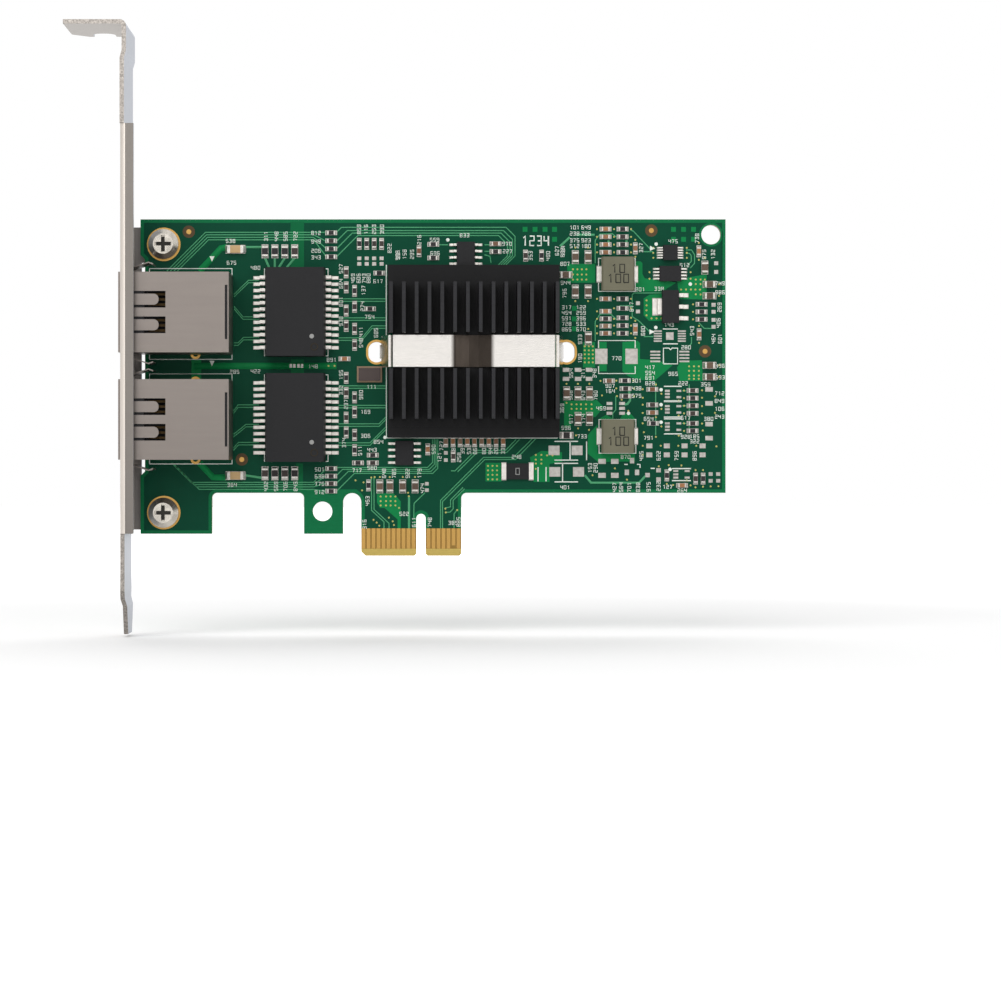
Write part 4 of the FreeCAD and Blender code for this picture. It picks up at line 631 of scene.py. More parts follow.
def apply_tree(holder, tree, values):
    """Adds the tree as a modifier and sets each input by its socket's identifier."""
    modifier = holder.modifiers.new(tree.name, "NODES")
    modifier.node_group = tree
    for item in tree.interface.items_tree:
        if item.item_type == "SOCKET" and item.in_out == "INPUT" and item.name in values:
            modifier[item.identifier] = values[item.name]


def new_holder(name, vertices, edges=()):
    mesh = bpy.data.meshes.new(f"{name}_holder")
    mesh.from_pydata(vertices, edges, [])
    return new_object(mesh.name, mesh)


def tree_piece(kit, name, face, finish, holder, tree, values):
    """The piece that a tree makes of a holder, on a face of the board."""
    apply_tree(holder, tree, {**values, "Material": kit.finishes[finish]})
    return to_piece(name, baked(holder), face.matrix, kit.finishes[finish])


def draw_lines(kit, name, face, finish, paths, width, low, thickness=LINE_THICKNESS):
    """Flat bars of one width along paths of (x, z) points, in millimetres."""
    vertices = []
    edges = []
    for path in paths:
        first = len(vertices)
        vertices += [face.point(x, z, low + thickness / 2) for x, z in path]
        edges += [(first + i, first + i + 1) for i in range(len(path) - 1)]
    return tree_piece(kit, name, face, finish, new_holder(name, vertices, edges), kit.lines,
                       {"Width": width * MM, "Thickness": thickness * MM})


def draw_copies(kit, name, face, finish, source, places, low=0.0, seed=1):
    """Copies of a unit source at (x, z, turn in degrees, length, width, height)."""
    holder = new_holder(name, [face.point(p[0], p[1], low) for p in places])
    turns = holder.data.attributes.new("turn", "FLOAT_VECTOR", "POINT")
    sizes = holder.data.attributes.new("size", "FLOAT_VECTOR", "POINT")
    for i, place in enumerate(places):
        turns.data[i].vector = (0, 0, math.radians(place[2]) * face.way)
        sizes.data[i].vector = [value * MM for value in place[3:]]
    return tree_piece(kit, name, face, finish, holder, kit.copies,
                       {"Source": kit.sources[source], "Seed": seed})


def draw_plates(kit, name, face, finish, loops, low, holes=(), thickness=SHEET):
    """Thin plates from outlines of (x, z) points; holes are cut from all of them."""
    drawing = bpy.data.curves.new(f"{name}_drawing", "CURVE")
    drawing.dimensions = "2D"
    drawing.fill_mode = "BOTH"
    drawing.extrude = thickness / 2 * MM
    for loop in (*loops, *holes):
        spline = drawing.splines.new("POLY")
        spline.points.add(len(loop) - 1)
        for point, (x, z) in zip(spline.points, loop):
            point.co = (*face.point(x, z), 1)
        spline.use_cyclic_u = True
    mesh = baked(new_object(f"{name}_drawing", drawing))
    shape = bmesh.new()
    shape.from_mesh(mesh)
    bmesh.ops.remove_doubles(shape, verts=shape.verts, dist=PLATE_WELD)
    bmesh.ops.recalc_face_normals(shape, faces=shape.faces)
    shape.to_mesh(mesh)
    shape.free()
    lift = Matrix.Translation((0, 0, (low + thickness / 2) * MM))
    return to_piece(name, mesh, face.matrix @ lift, kit.finishes[finish])


def circle(x, z, radius, count=32):
    steps = (2 * math.pi * i / count for i in range(count))
    return [(x + radius * math.cos(a), z + radius * math.sin(a)) for a in steps]


def pointer(x, z, turn, radius=0.65):
    """A small triangle whose tip points along an angle."""
    angles = (math.radians(turn + step) for step in (0, 130, 230))
    return [(x + radius * math.cos(a), z + radius * math.sin(a)) for a in angles]


def box_loop(left, foot, right, top):
    return [(left, foot), (right, foot), (right, top), (left, top)]


# Unit shapes that are copied: one unit on each side, standing on their foot

CAP_SHARE = 0.24
JOINT_NEAR = 0.49
JOINT_FAR = 0.66


def unit_mesh(name, build):
    mesh = bpy.data.meshes.new(name)
    shape = bmesh.new()
    build(shape)
    bmesh.ops.recalc_face_normals(shape, faces=shape.faces)
    shape.to_mesh(mesh)
    shape.free()
    return new_object(name, mesh)


def add_box(shape, low, high, bevel=0.0):
    middle = (Vector(low) + Vector(high)) / 2
    sides = Vector(high) - Vector(low)
    matrix = Matrix.Translation(middle) @ Matrix.Diagonal((*sides, 1))
    made = bmesh.ops.create_cube(shape, size=1, matrix=matrix)
    if bevel:
        edges = {edge for vertex in made["verts"] for edge in vertex.link_edges}
        bmesh.ops.bevel(shape, geom=list(edges), offset=bevel, segments=2, affect="EDGES")


def add_cone(shape, low_radius, high_radius, count=16):
    bmesh.ops.create_cone(shape, cap_ends=True, segments=count, radius1=low_radius,
                          radius2=high_radius, depth=1, matrix=Matrix.Translation((0, 0, 0.5)))


def join_loops(shape, one, two):
    """A band of faces between two loops of corners."""
    for i in range(len(one)):
        j = (i + 1) % len(one)
        shape.faces.new((one[i], one[j], two[j], two[i]))


def add_ring(shape, inner, outer, count=24):
    """A flat ring with square edges."""
    loops = []
    for radius, height in ((inner, 0), (outer, 0), (outer, 1), (inner, 1)):
        loops.append([shape.verts.new((x, y, height)) for x, y in circle(0, 0, radius, count)])
    for one, two in zip(loops, loops[1:] + loops[:1]):
        join_loops(shape, one, two)


def build_chip_body(shape):
    reach = 0.5 - CAP_SHARE * 0.6
    add_box(shape, (-reach, -0.47, 0.02), (reach, 0.47, 0.96), 0.02)


def build_chip_caps(shape):
    for way in (-1, 1):
        ends = sorted((way * 0.5, way * (0.5 - CAP_SHARE)))
        add_box(shape, (ends[0], -0.5, 0), (ends[1], 0.5, 1), 0.06)


def build_chip_joints(shape):
    """A slope of solder at each end, from the pad up the end cap."""
    for way in (-1, 1):
        near = way * JOINT_NEAR
        side = [(near, -0.46, 0), (way * JOINT_FAR, -0.42, 0), (near, -0.40, 0.72)]
        one = [shape.verts.new(point) for point in side]
        two = [shape.verts.new((x, -y, z)) for x, y, z in side]
        shape.faces.new(one)
        shape.faces.new(two)
        join_loops(shape, one, two)


SOURCES = {
    "slab": lambda shape: add_box(shape, (-0.5, -0.5, 0), (0.5, 0.5, 1)),
    "disc": lambda shape: add_cone(shape, 0.5, 0.5),
    "ring": lambda shape: add_ring(shape, 0.26, 0.5),
    "cone": lambda shape: add_cone(shape, 0.5, 0.22),
    "chip_body": build_chip_body,
    "chip_caps": build_chip_caps,
    "chip_joints": build_chip_joints,
}


class Kit:
    """What each step of the artwork draws with."""

    def __init__(self):
        self.finishes = bpy.data.materials
        self.lines = bpy.data.node_groups.get("lay_lines") or lines_tree()
        self.copies = bpy.data.node_groups.get("place_copies") or copies_tree()
        self.sources = {name: unit_mesh(f"source_{name}", build) for name, build in SOURCES.items()}
        self.front = BoardFace("front")
        self.back = BoardFace("back")

    def clear(self):
        for source in self.sources.values():
            bpy.data.objects.remove(source)


# Reading the frame's solids

def welded(node):
    """A node's solids with the corners of their loose triangles joined."""
    shape = bmesh.new()
    shape.from_mesh(NODES[node].data)
    bmesh.ops.remove_doubles(shape, verts=shape.verts, dist=WELD)
    return shape


def face_loops(face):
    """Outlines of one flat face of the board, in millimetres: the outer one first, then its holes."""
    shape = welded("circuit_board")
    flat = {f for f in shape.faces if all(abs(v.co.y - face.level) < WELD for v in f.verts)}
    beside = {}
    for edge in shape.edges:
        if sum(one in flat for one in edge.link_faces) == 1:
            for vertex in edge.verts:
                beside.setdefault(vertex, []).append(edge.other_vert(vertex))
    left = set(beside)
    loops = []
    while left:
        loop = [left.pop()]
        while True:
            following = [vertex for vertex in beside[loop[-1]] if vertex in left]
            if not following:
                break
            loop.append(following[0])
            left.discard(following[0])
        loops.append([(vertex.co.x / MM, vertex.co.z / MM) for vertex in loop])
    shape.free()
    loops.sort(key=lambda loop: max(x for x, _ in loop) - min(x for x, _ in loop), reverse=True)
    return loops


def loop_area(loop):
    return sum(a[0] * b[1] - b[0] * a[1] for a, b in zip(loop, loop[1:] + loop[:1])) / 2


def grown(loop, distance):
    """An outline moved outward, or inward for a negative distance."""
    if loop_area(loop) < 0:
        loop = loop[::-1]
    result = []
    for before, here, after in zip(loop[-1:] + loop[:-1], loop, loop[1:] + loop[:1]):
        one = (Vector(here) - Vector(before)).normalized()
        two = (Vector(after) - Vector(here)).normalized()
        first = Vector((one.y, -one.x))
        second = Vector((two.y, -two.x))
        across = (first + second).normalized()
        reach = distance / max(0.4, across.dot(first))
        result.append((here[0] + across.x * reach, here[1] + across.y * reach))
    return result


def middle_of(loop):
    xs, zs = zip(*loop)
    return (min(xs) + max(xs)) / 2, (min(zs) + max(zs)) / 2


def inside(point, loop):
    """Whether a point lies in an outline."""
    x, z = point
    crossings = 0
    for (ax, az), (bx, bz) in zip(loop, loop[1:] + loop[:1]):
        if (az > z) != (bz > z) and x < ax + (z - az) / (bz - az) * (bx - ax):
            crossings += 1
    return crossings % 2 == 1


def holes_in(loop, holes, distance):
    """The holes whose middles lie in an outline, grown by a distance."""
    return [grown(hole, distance) for hole in holes if inside(middle_of(hole), loop)]


def islands(node):
    """Low and high corners of each separate solid of a node, in millimetres."""
    shape = welded(node)
    left = set(shape.verts)
    boxes = []
    while left:
        stack = [left.pop()]
        found = []
        while stack:
            vertex = stack.pop()
            found.append(vertex.co / MM)
            for edge in vertex.link_edges:
                other = edge.other_vert(vertex)
                if other in left:
                    left.discard(other)
                    stack.append(other)
        boxes.append((Vector([min(p[i] for p in found) for i in range(3)]),
                      Vector([max(p[i] for p in found) for i in range(3)])))
    shape.free()
    return sorted(boxes, key=lambda box: tuple(box[0]))


def grid(across, up):
    return [(x, z) for x in across for z in up]


# Artwork of the component side, in millimetres along the board and up it

# Heights over the laminate: the top of the dark plane, and the top of the pours, where print lies
PLANE = 0.012
SURFACE = 0.024
LAMP_ROWS = (64.7, 62.9, 61.4, 59.8)
LAMP_LIFT = (65.7, 65.05, 64.55, 64.05)
LOWER_ROWS = (17.46, 16.08, 14.54, 12.92)
LOWER_START = (14.7, 14.25, 13.8, 13.3)
LOWER_LIFT = (17.68, 17.29, 16.9, 16.5)
LOWER_TURN = (2.3, 2.65, 3.0, 3.35)


def lamp_lines():
    """Four traces from the upper jack's lamps over the top of the board to the heat sink."""
    paths = []
    for k in range(4):
        corner = (-43.1 + 0.2 * k, 64.7 - 0.5 * k)
        fall = corner[1] - 57
        paths.append([(corner[0] - fall, 57), corner, (-21.5, corner[1]), (-18.9, LAMP_ROWS[k])])
        lift = LAMP_LIFT[k]
        turn = 18.8 - 0.5 * k
        run = -16.9 + abs(lift - LAMP_ROWS[k])
        paths.append([(-16.9, LAMP_ROWS[k]), (run, lift), (turn - 1.8, lift), (turn, lift - 1.8),
                      (turn, 60), (turn - 1.8, 58.2)])
    return paths


def lower_lamp_lines():
    """Four traces from the lower jack's lamps along the foot of the board."""
    paths = []
    for k in range(4):
        low = LOWER_START[k]
        left = -46.0 + 0.55 * k
        paths.append([(left - (18.6 - low), 18.6), (left, low), (-21.5, low), (-19.0, LOWER_ROWS[k])])
        lift = LOWER_LIFT[k]
        run = -16.9 + abs(lift - LOWER_ROWS[k])
        paths.append([(-16.9, LOWER_ROWS[k]), (run, lift), (LOWER_TURN[k] - 1, lift),
                      (LOWER_TURN[k], lift + 1), (LOWER_TURN[k], 23.3)])
    return paths


def paired(path, gap):
    """A path and its twin below it."""
    return [path, [(x, z - gap) for x, z in path]]


def squares(places):
    """The outline of a small square pour at each place."""
    return [box_loop(x - SQUARE_REACH, z - SQUARE_REACH, x + SQUARE_REACH, z + SQUARE_REACH)
            for x, z in places]


SQUARE_REACH = 0.48
JACK_PAIRS = (
    [(-37.4, 52.3), (-34.5, 55.1), (-32.4, 55.1)], [(-37.4, 49.9), (-35.6, 47.8), (-32.4, 47.8)],
    [(-37.4, 42.6), (-36.6, 42.6), (-35.5, 43.7), (-32.4, 43.7)],
    [(-37.5, 29.0), (-36.6, 30.2), (-32.4, 30.2)], [(-37.5, 24.3), (-35.0, 26.3), (-32.4, 26.3)],
    [(-37.5, 21.6), (-36.5, 22.7), (-32.4, 22.7)],
)
SINK_PAIRS = (
    [(-16.5, 51.4), (-7, 51.4)], [(-16.5, 47.6), (-7, 47.6)],
    [(-16.5, 43.6), (-11.8, 43.6), (-9.8, 46), (-7, 46)], [(-16.5, 34.0), (-7, 34.0)],
    [(-16.5, 30.1), (-7, 30.1)], [(-16.5, 26.4), (-8.4, 26.4), (-7, 27.8)],
    [(-16.5, 22.6), (-10.2, 22.6), (-7, 25.8)],
)
FINE_TRACES = (
    [(-9.9, 15.6), (-9.9, 9.1), (-7.4, 6.8), (-7.4, 5.5)],
    [(-9.4, 15.7), (-9.4, 9.3), (-6.4, 6.5), (-6.4, 5.5)], [(0.76, 12.6), (-1.4, 10.5), (-1.45, 7.5)],
    [(7.2, 9.2), (6.6, 8.4), (6.6, 5.6)],
    [(22.2, 23.4), (21.0, 22.2), (18.5, 19.7), (12.5, 19.7), (3.9, 11.1), (3.9, 5.5)],
    [(22.9, 23.4), (18.9, 19.27), (12.75, 19.27), (4.3, 10.85), (4.3, 5.5)],
    [(19.0, 23.3), (16.9, 21.1), (10.9, 21.1), (6.8, 17.0), (6.0, 17.0)],
    [(19.7, 23.3), (17.1, 20.65), (11.15, 20.65), (7.3, 16.8)],
    [(5.1, 8.7), (5.8, 8.75), (6.42, 9.4), (6.42, 11.1), (8.7, 13.4)],
    [(4.9, 9.6), (5.9, 9.8), (5.9, 11.2), (8.4, 13.7)], [(41.86, 65.18), (42.46, 64.94), (45.73, 61.47)],
    [(44.52, 60.82), (46.46, 60.82)],
    [(34.83, 58.52), (34.83, 63.12), (35.8, 64.33), (38.22, 64.45), (39.07, 63.73)],
    [(53.0, 61.18), (54.09, 61.18), (54.7, 60.21), (54.7, 58.52), (53.85, 57.55)],
    [(53.0, 60.5), (53.7, 60.5), (54.05, 60.0), (54.05, 58.9), (53.3, 58.1)],
    [(48.4, 52.58), (42.6, 52.58), (42.22, 52.22), (42.22, 47.85), (43.55, 47.0), (45.73, 44.82)],
    [(39.43, 49.67), (39.92, 50.03), (42.1, 50.03)],
    [(34.83, 43.0), (34.83, 46.88), (35.8, 48.34), (37.98, 48.34), (39.07, 47.25)],
    [(44.52, 43.85), (46.46, 43.85)], [(54.09, 43.73), (54.09, 42.5), (53.49, 41.8)],
    [(55.55, 46.64), (56.64, 45.48), (58.09, 45.48)], [(3.4, 62.2), (5.4, 62.2)],
    [(12.7, 62.2), (14.0, 62.2)], [(12.7, 60.9), (13.9, 60.9)],
    [(12.7, 60.2), (13.8, 59.9), (14.0, 58.6)],
    [(38.94, 31.97), (38.94, 29.2), (38.36, 28.5), (38.36, 27.4)], [(46.93, 34.7), (46.93, 24.2)],
    [(53.63, 34.3), (53.63, 25.1)], [(52.25, 33.0), (53.3, 33.0)], [(52.25, 30.0), (53.3, 30.0)],
    [(52.25, 26.5), (53.3, 26.5)],
)
BROAD_TRACES = (
    [(-35.0, 61.75), (-31.5, 61.75)], [(-35, 16.1), (-31.8, 15.6)],
    [(-31.2, 59.6), (-30.4, 57.7)], [(-29.24, 59.6), (-29.24, 57.7)], [(-27.2, 59.6), (-28.4, 57.7)],
    [(-25.24, 59.6), (-26.8, 57.7)], [(27.8, 61.9), (29.74, 63.7)], [(31.07, 64.2), (34.7, 64.2)],
    [(37.5, 63.1), (37.5, 62.4)], [(41.08, 63.1), (41.08, 62.4)],
    [(32.74, 16.12), (34.0, 14.63), (43.64, 14.63), (44.9, 16.0)],
    [(41.6, 33.1), (41.8, 31.05), (41.3, 30.36), (40.7, 30.24)], [(-2.4, 11.9), (-2.4, 5.5)],
)
BANDS = (
    [(-44.3, 56.9), (-40.0, 61.5), (-38.8, 61.7)], [(-44.3, 18.6), (-41.6, 15.7), (-39, 15.7)],
    [(-45.5, 37.97), (-16.9, 37.97)],
)
FRONT_POURS = (
    box_loop(-45.9, 35.2, -43.95, 39.3),
    [(-8.8, 12.5), (-5.5, 12.5), (-4.06, 10.9), (-4.06, 5.5), (-4.7, 5.5), (-4.7, 7.3), (-7.3, 9.6),
     (-8.2, 9.6), (-8.8, 10.7)],
    box_loop(12.9, 14.9, 16.1, 18.6),
    [(21.8, 19.7), (24.1, 21), (28.2, 20.7), (28.2, 18.8), (25.7, 18.4), (25.7, 14.8), (22.5, 14.8)],
    [(42.95, 58.88), (43.92, 58.88), (44.28, 58.52), (44.28, 56.34), (44.76, 55.49), (47.91, 55.25),
     (51.07, 54.64), (49.13, 53.43), (48.4, 52.89), (43.31, 52.89), (42.83, 53.67)],
    box_loop(29.25, 54.64, 34.83, 58.4),
    [(51.19, 55.25), (57.12, 56.34), (57.12, 51.25), (51.67, 51.37)],
    [(44.52, 51.49), (45.73, 52.22), (48.64, 52.46), (48.64, 47.0), (45.61, 47.0), (44.52, 48.10)],
    box_loop(35.56, 36.95, 37.13, 42.76),
    [(40.28, 42.76), (43.31, 43.0), (43.79, 42.52), (43.79, 39.37), (47.19, 39.13), (50.34, 38.16),
     (46.7, 35.01), (43.31, 35.25), (41.37, 35.98), (40.28, 36.95)],
    [(51.19, 37.67), (52.03, 39.01), (56.15, 39.13), (56.4, 35.01), (51.67, 35.01)],
    box_loop(32.4, 37.67, 34.8, 42.76),
    [(28.6, 31.0), (35.15, 31.16), (36.52, 29.78), (34.9, 27.8), (30.0, 27.8), (30.0, 25.6), (28.6, 25.6)],
    [(33.4, 24.2), (35.3, 26.3), (35.3, 20.5), (42.8, 20.4), (42.8, 18.9), (35.4, 18.8), (33.3, 20.5)],
    [(35.6, 27.4), (37.0, 28.2), (38.2, 27.6), (38.2, 27.3), (35.6, 27.3)],
    [(39.8, 27.3), (40.4, 28.6), (42.0, 28.4), (42.9, 27.3)],
    *squares((*grid((20.8, 22.8, 24.8), (65.3,)), *grid((26.7,), (65.3, 63.3)),
              *grid((50.5, 52.5, 54.5), (65.3, 63.3)), *grid((30.66,), (49.5, 47.4, 45.4)))),
)
FRONT_BANDS = (
    box_loop(-26.1, 57.6, -23.4, 66.8), box_loop(-26, 36.4, -23.4, 39.3),
    box_loop(-25.0, 13.1, -23.6, 18.5),
)
LEG_PLACES = grid((-45.1,), (55.86, 40.34, 34.86, 19.34))
FRONT_VIAS = (
    *grid((-8.08, -7.0, -6.08, -5.13), (11.88, 10.95, 10.09)), (-4.38, 9.6), (-9.5, 7.2), (-8.88, 6.66),
    (-8.34, 6.04), (-6.43, 7.64), (-5.66, 6.9), (-5.43, 6.18), (4.87, 9.43), (4.96, 8.68), (7.23, 9.16),
    (-9.95, 15.68), (-9.27, 15.77), (-8.22, 15.77), (-6.25, 15.77), (-3.65, 15.77), (-1.2, 15.77),
    (-2.6, 12.64), (-2.45, 11.93), (-13.1, 15.1), (-11.5, 14.7), (-11.8, 13.1), (-18.5, 38), (-17.3, 38),
    *grid((13.4, 14.3, 15.2), (18.0, 17.1, 16.2, 15.3)), *grid((22.95, 24.07), (20.2, 19.25, 18.45)),
    (22.95, 17.4), (25.2, 20.1), (26.3, 20.1), *grid((30.39, 31.27, 32.16, 33.06), (57.31, 56.26, 55.25)),
    (54.94, 55.25), (55.91, 55.25), (56.76, 55.25), (54.94, 54.35), (55.91, 54.35), (52.03, 53.26),
    (53.0, 53.26), (53.97, 53.26), (54.87, 53.26), (55.79, 53.26), (54.94, 52.29), (55.91, 52.29),
    (45.1, 51.1), (45.1, 50.1), (45.1, 49.1), (45.1, 48.1), (46.1, 47.5), (47.1, 47.5), (48.1, 47.5),
    *grid((53.61, 54.58, 55.55), (37.9, 37.0, 36.05, 35.4)),
    *grid((32.75, 33.55, 34.35), (41.9, 41.1, 40.3, 39.5, 38.7)),
    *grid((30.1, 31.1, 32.0, 33.0, 34.1), (30.3, 29.4)), *grid((46.97,), (34.26, 27.72, 23.81)),
    *grid((51.52,), (31.05, 28.06, 24.05)),
    *grid((44.33,), (33.34, 31.62, 30.24, 28.59, 26.5, 22.02, 20.21)), (44.56, 24.73),
    *grid((48.07,), (32.42, 29.39, 25.88)), *grid((56.2,), (33.11, 31.62, 29.95, 28.48, 26.46)),
    (56.34, 25.08), (58.8, 31.9), (58.8, 28.6), (59.07, 21.9), (47.94, 22.02), (51.45, 22.02),
    (55.05, 22.02), (47.55, 17.91), (49.54, 18.14), (52.07, 18.08), (50.42, 14.17), (53.17, 15.09),
    (54.89, 13.71), (56.38, 13.83), (57.92, 13.9), (59.48, 13.94), (41.19, 15.25), (38.77, 17.5),
    (34.3, 16.12), (33.59, 25.2), (40.13, 31.23), (41.46, 29.0), (39.05, 33.5), (36.18, 32.08),
)
FRONT_FIDUCIALS = ((-46.44, 64.82), (-35.84, 19.28), (46.06, 65.06), (56.8, 40.9))
# Bare pads where a part is left out: places, width and height
FRONT_PADS = (
    (grid((36.05, 42.1), (39.9,)), 2.45, 3.05), (((26.6, 21.1), (31.2, 21.1)), 2.2, 1.9),
    (((26.75, 16.8), (31.5, 16.8)), 2.2, 1.9), (((49.75, 43.95),), 1.5, 1.5),
    (grid((47.35, 52.15), (42.95, 43.45, 43.95, 44.45, 44.95)), 1.6, 0.28),
    (grid((46.85, 52.65), (38.9, 39.55, 40.2, 40.85)), 2.0, 0.33),
    (grid((45.65, 49.15, 52.7, 56.3), (20.2, 22.0)), 1.2, 0.95),
    (grid((36.2, 38.75), (16.1, 18.9)), 1.5, 1.0),
    (((42.2, 19.05), (41.15, 16.7), (43.2, 16.7)), 0.85, 1.1),
    (grid((57.6,), (23.55, 26.35, 30.5, 33.3)), 1.5, 0.9),
    (grid((29.0, 31.4, 33.6), (35.4, 37.2)), 1.3, 0.8),
    (grid((-12.35, -10.86, -9.37, -7.88), (58.4, 59.5)), 0.8, 0.7),
    (grid((58.5,), (45.8, 47.2, 48.8, 50.2)), 0.8, 0.75),
    (grid((37.68, 40.2), (30.48, 29.5, 28.52)), 1.15, 0.6),
    (grid((49.26,), (33.0, 32.38, 31.74, 29.94, 29.3, 28.66, 26.5, 25.84, 25.2)), 0.95, 0.42),
    (grid((51.56,), (33.0, 31.74, 29.94, 28.66, 26.5, 25.2)), 0.95, 0.42),
    (((43.38, 50.52), (43.38, 48.88)), 0.8, 0.75), (((59.02, 58.52), (59.02, 56.78)), 0.8, 0.75),
    (((45.3, 16.16), (47.5, 17.12), (47.5, 15.28)), 0.9, 0.85),
    (grid((50.94,), (16.98, 16.3, 15.66)), 1.0, 0.4), (grid((53.22,), (16.98, 15.66)), 1.0, 0.4),
    (((57.92, 16.36), (57.92, 15.02), (59.42, 16.36), (59.42, 15.02)), 0.8, 0.7),
    (grid((-26.05, -25.35, -24.5, -23.8), (38.0,)), 0.5, 0.75),
    (((4.96, 20.6), (4.96, 19.16), (1.16, 14.42), (1.16, 13.14)), 0.75, 0.7),
)
PRINT_WIDTH = 0.22
PIN_MARK_INSET = 2.2
PIN_MARK_LIFT = 1.8
# Radius of the ring of painted shade on each magnetics module
PIN_SHADE_RING_RADIUS = 0.65
# The dot stands aside from the ring and over it
PIN_DOT_ASIDE = 0.5
PIN_DOT_LIFT = 2.1
PIN_DOT_SIZE = 0.9
# Nodes with plain numbers on them: the numbers, one below the other, and their height
PACKAGE_NUMBERS = (
    ("upper_inductor", (10, 100), 1.65), ("lower_inductor", (10, 100), 1.65),
    ("sense_resistor", (0,), 1.25),
)


def open_frame(left, foot, right, top, gap_low, gap_high):
    """A printed frame whose two sides are broken between two heights."""
    return [[(left, gap_high), (left, top), (right, top), (right, gap_high)],
            [(left, gap_low), (left, foot), (right, foot), (right, gap_low)]]


def corner_marks(left, foot, right, top, reach):
    return [[(x + dx * reach, z), (x, z), (x, z + dz * reach)]
            for x, dx in ((left, 1), (right, -1)) for z, dz in ((foot, 1), (top, -1))]


FRONT_PRINT = (
    [(-54.3, 39.3), (-54.3, 57.45), (-37.8, 57.45), (-37.8, 39.3), (-54.3, 39.3)],
    [(-54.3, 18.4), (-54.3, 36.4), (-37.8, 36.4), (-37.8, 18.4), (-54.3, 18.4)],
    *corner_marks(-31.3, 40.0, -18.6, 57.4, 1.6), *corner_marks(-31.3, 18.9, -18.6, 36.2, 1.6),
    [(-6.93, 58.2), (-6.93, 23.6), (27.3, 23.6)], [(26.7, 22.9), (31.4, 22.9)],
    [(26.7, 19.15), (31.4, 19.15)], [(29.8, 22.9), (29.8, 19.15)], [(33.1, 22.9), (33.1, 19.15)],
    [(26.7, 18.5), (31.4, 18.5)], [(26.7, 14.8), (31.4, 14.8)], [(28.3, 18.5), (28.3, 14.8)],
    [(23.4, 14.9), (23.4, 17.75)], [(25.0, 14.9), (25.0, 17.75)],
    *open_frame(35.5, 52.9, 42.83, 59.49, 54.64, 57.79),
    *open_frame(35.5, 36.46, 42.83, 43.06, 37.92, 41.55), [(48.4, 45.38), (51.36, 45.38)],
    [(48.4, 42.4), (51.36, 42.4)],
    [(48.47, 38.4), (51.31, 38.4), (51.31, 41.55), (50.2, 41.55), (49.9, 41.2), (49.6, 41.55),
     (48.47, 41.55), (48.47, 38.4)],
    [(50.19, 17.45), (53.97, 17.45)], [(50.19, 15.04), (53.97, 15.04)],
    *([(48.58, z), (52.14, z)] for z in (33.9, 31.0, 30.85, 27.75, 27.4, 24.4)),
    *open_frame(35.6, 20.53, 42.95, 27.26, 22.55, 25.54), [(40.66, 18.3), (41.35, 18.3)],
    [(43.18, 18.3), (43.8, 18.3), (43.8, 17.6)], [(45.94, 17.5), (46.74, 17.5)],
)
PRINT_DOTS = (
    *grid((48.0,), (33.23, 30.24, 26.73)), (49.8, 17.3), (47.02, 62.35), (53.85, 54.35), (46.95, 45.67),
    (5.36, 63.2), (-7.2, 23.7), (41.5, 28.5),
)
PRINT_TRIANGLES = ((-41.8, 59.5, 270), (-41.8, 38.6, 270), (46.2, 61.5, 0), (46.1, 44.8, 0))
LEVEL_MARKS = (
    *grid((30.7, 33.0), (65.67, 64.45, 63.1, 61.96)), *grid((29.1, 32.0), (49.7, 48.6, 47.5, 46.4, 45.3)),
    (28.8, 58.4), (28.9, 54.6), (43.8, 53.3), (47.6, 53.4), (50.4, 62.9), (52.7, 58.15), (59.8, 54.5),
    (59.8, 52.7), (49.6, 46.2), (53.0, 41.7), *grid((45.8,), (37.7, 36.6, 35.6, 34.5)), (50.4, 36.4),
    (52.4, 34.5), (56.9, 34.3), (59.8, 38.0), (59.8, 35.7), (39.1, 39.5), (37.8, 34.0), (37.8, 32.95),
    *grid((43.1,), (35.05, 33.5, 32.0)), *grid((59.7,), (32.5, 30.98, 29.4, 27.83)), (57.5, 27.4),
    (52.9, 27.6), (45.5, 27.4), (45.5, 23.6), (52.9, 23.8), (54.7, 23.9), (54.7, 22.9), (36.0, 29.5),
    (29.0, 25.6), (32.2, 23.9), (40.9, 19.8), (49.3, 13.8), (52.2, 13.1), (28.8, 13.7), (-38.1, 62.97),
    (-37.9, 58.6), *grid((-21.0,), (64.57, 62.86, 61.0, 59.68)), (-33.1, 57.6), (-8.6, 54.9),
    (-10.3, 47.8), (-17.9, 39.2), (-21.6, 37.9), (-37.3, 36.8), (-33.1, 36.9), (2.7, 63.2), (2.8, 60.5),
    (8.7, 64.1), (17.2, 62.4), (17.3, 60.9), (-37.8, 14.2), *grid((-20.3,), (17.3, 15.9, 14.4, 12.75)),
    *grid((-11.1,), (28.8, 24.0)), *grid((-9.8,), (21.2, 17.6)), (-12.8, 17.1), (-8.5, 22.8),
    (-9.9, 33.8), (19.1, 19.8), (6.4, 6.6), (-3.4, 8.4),
)
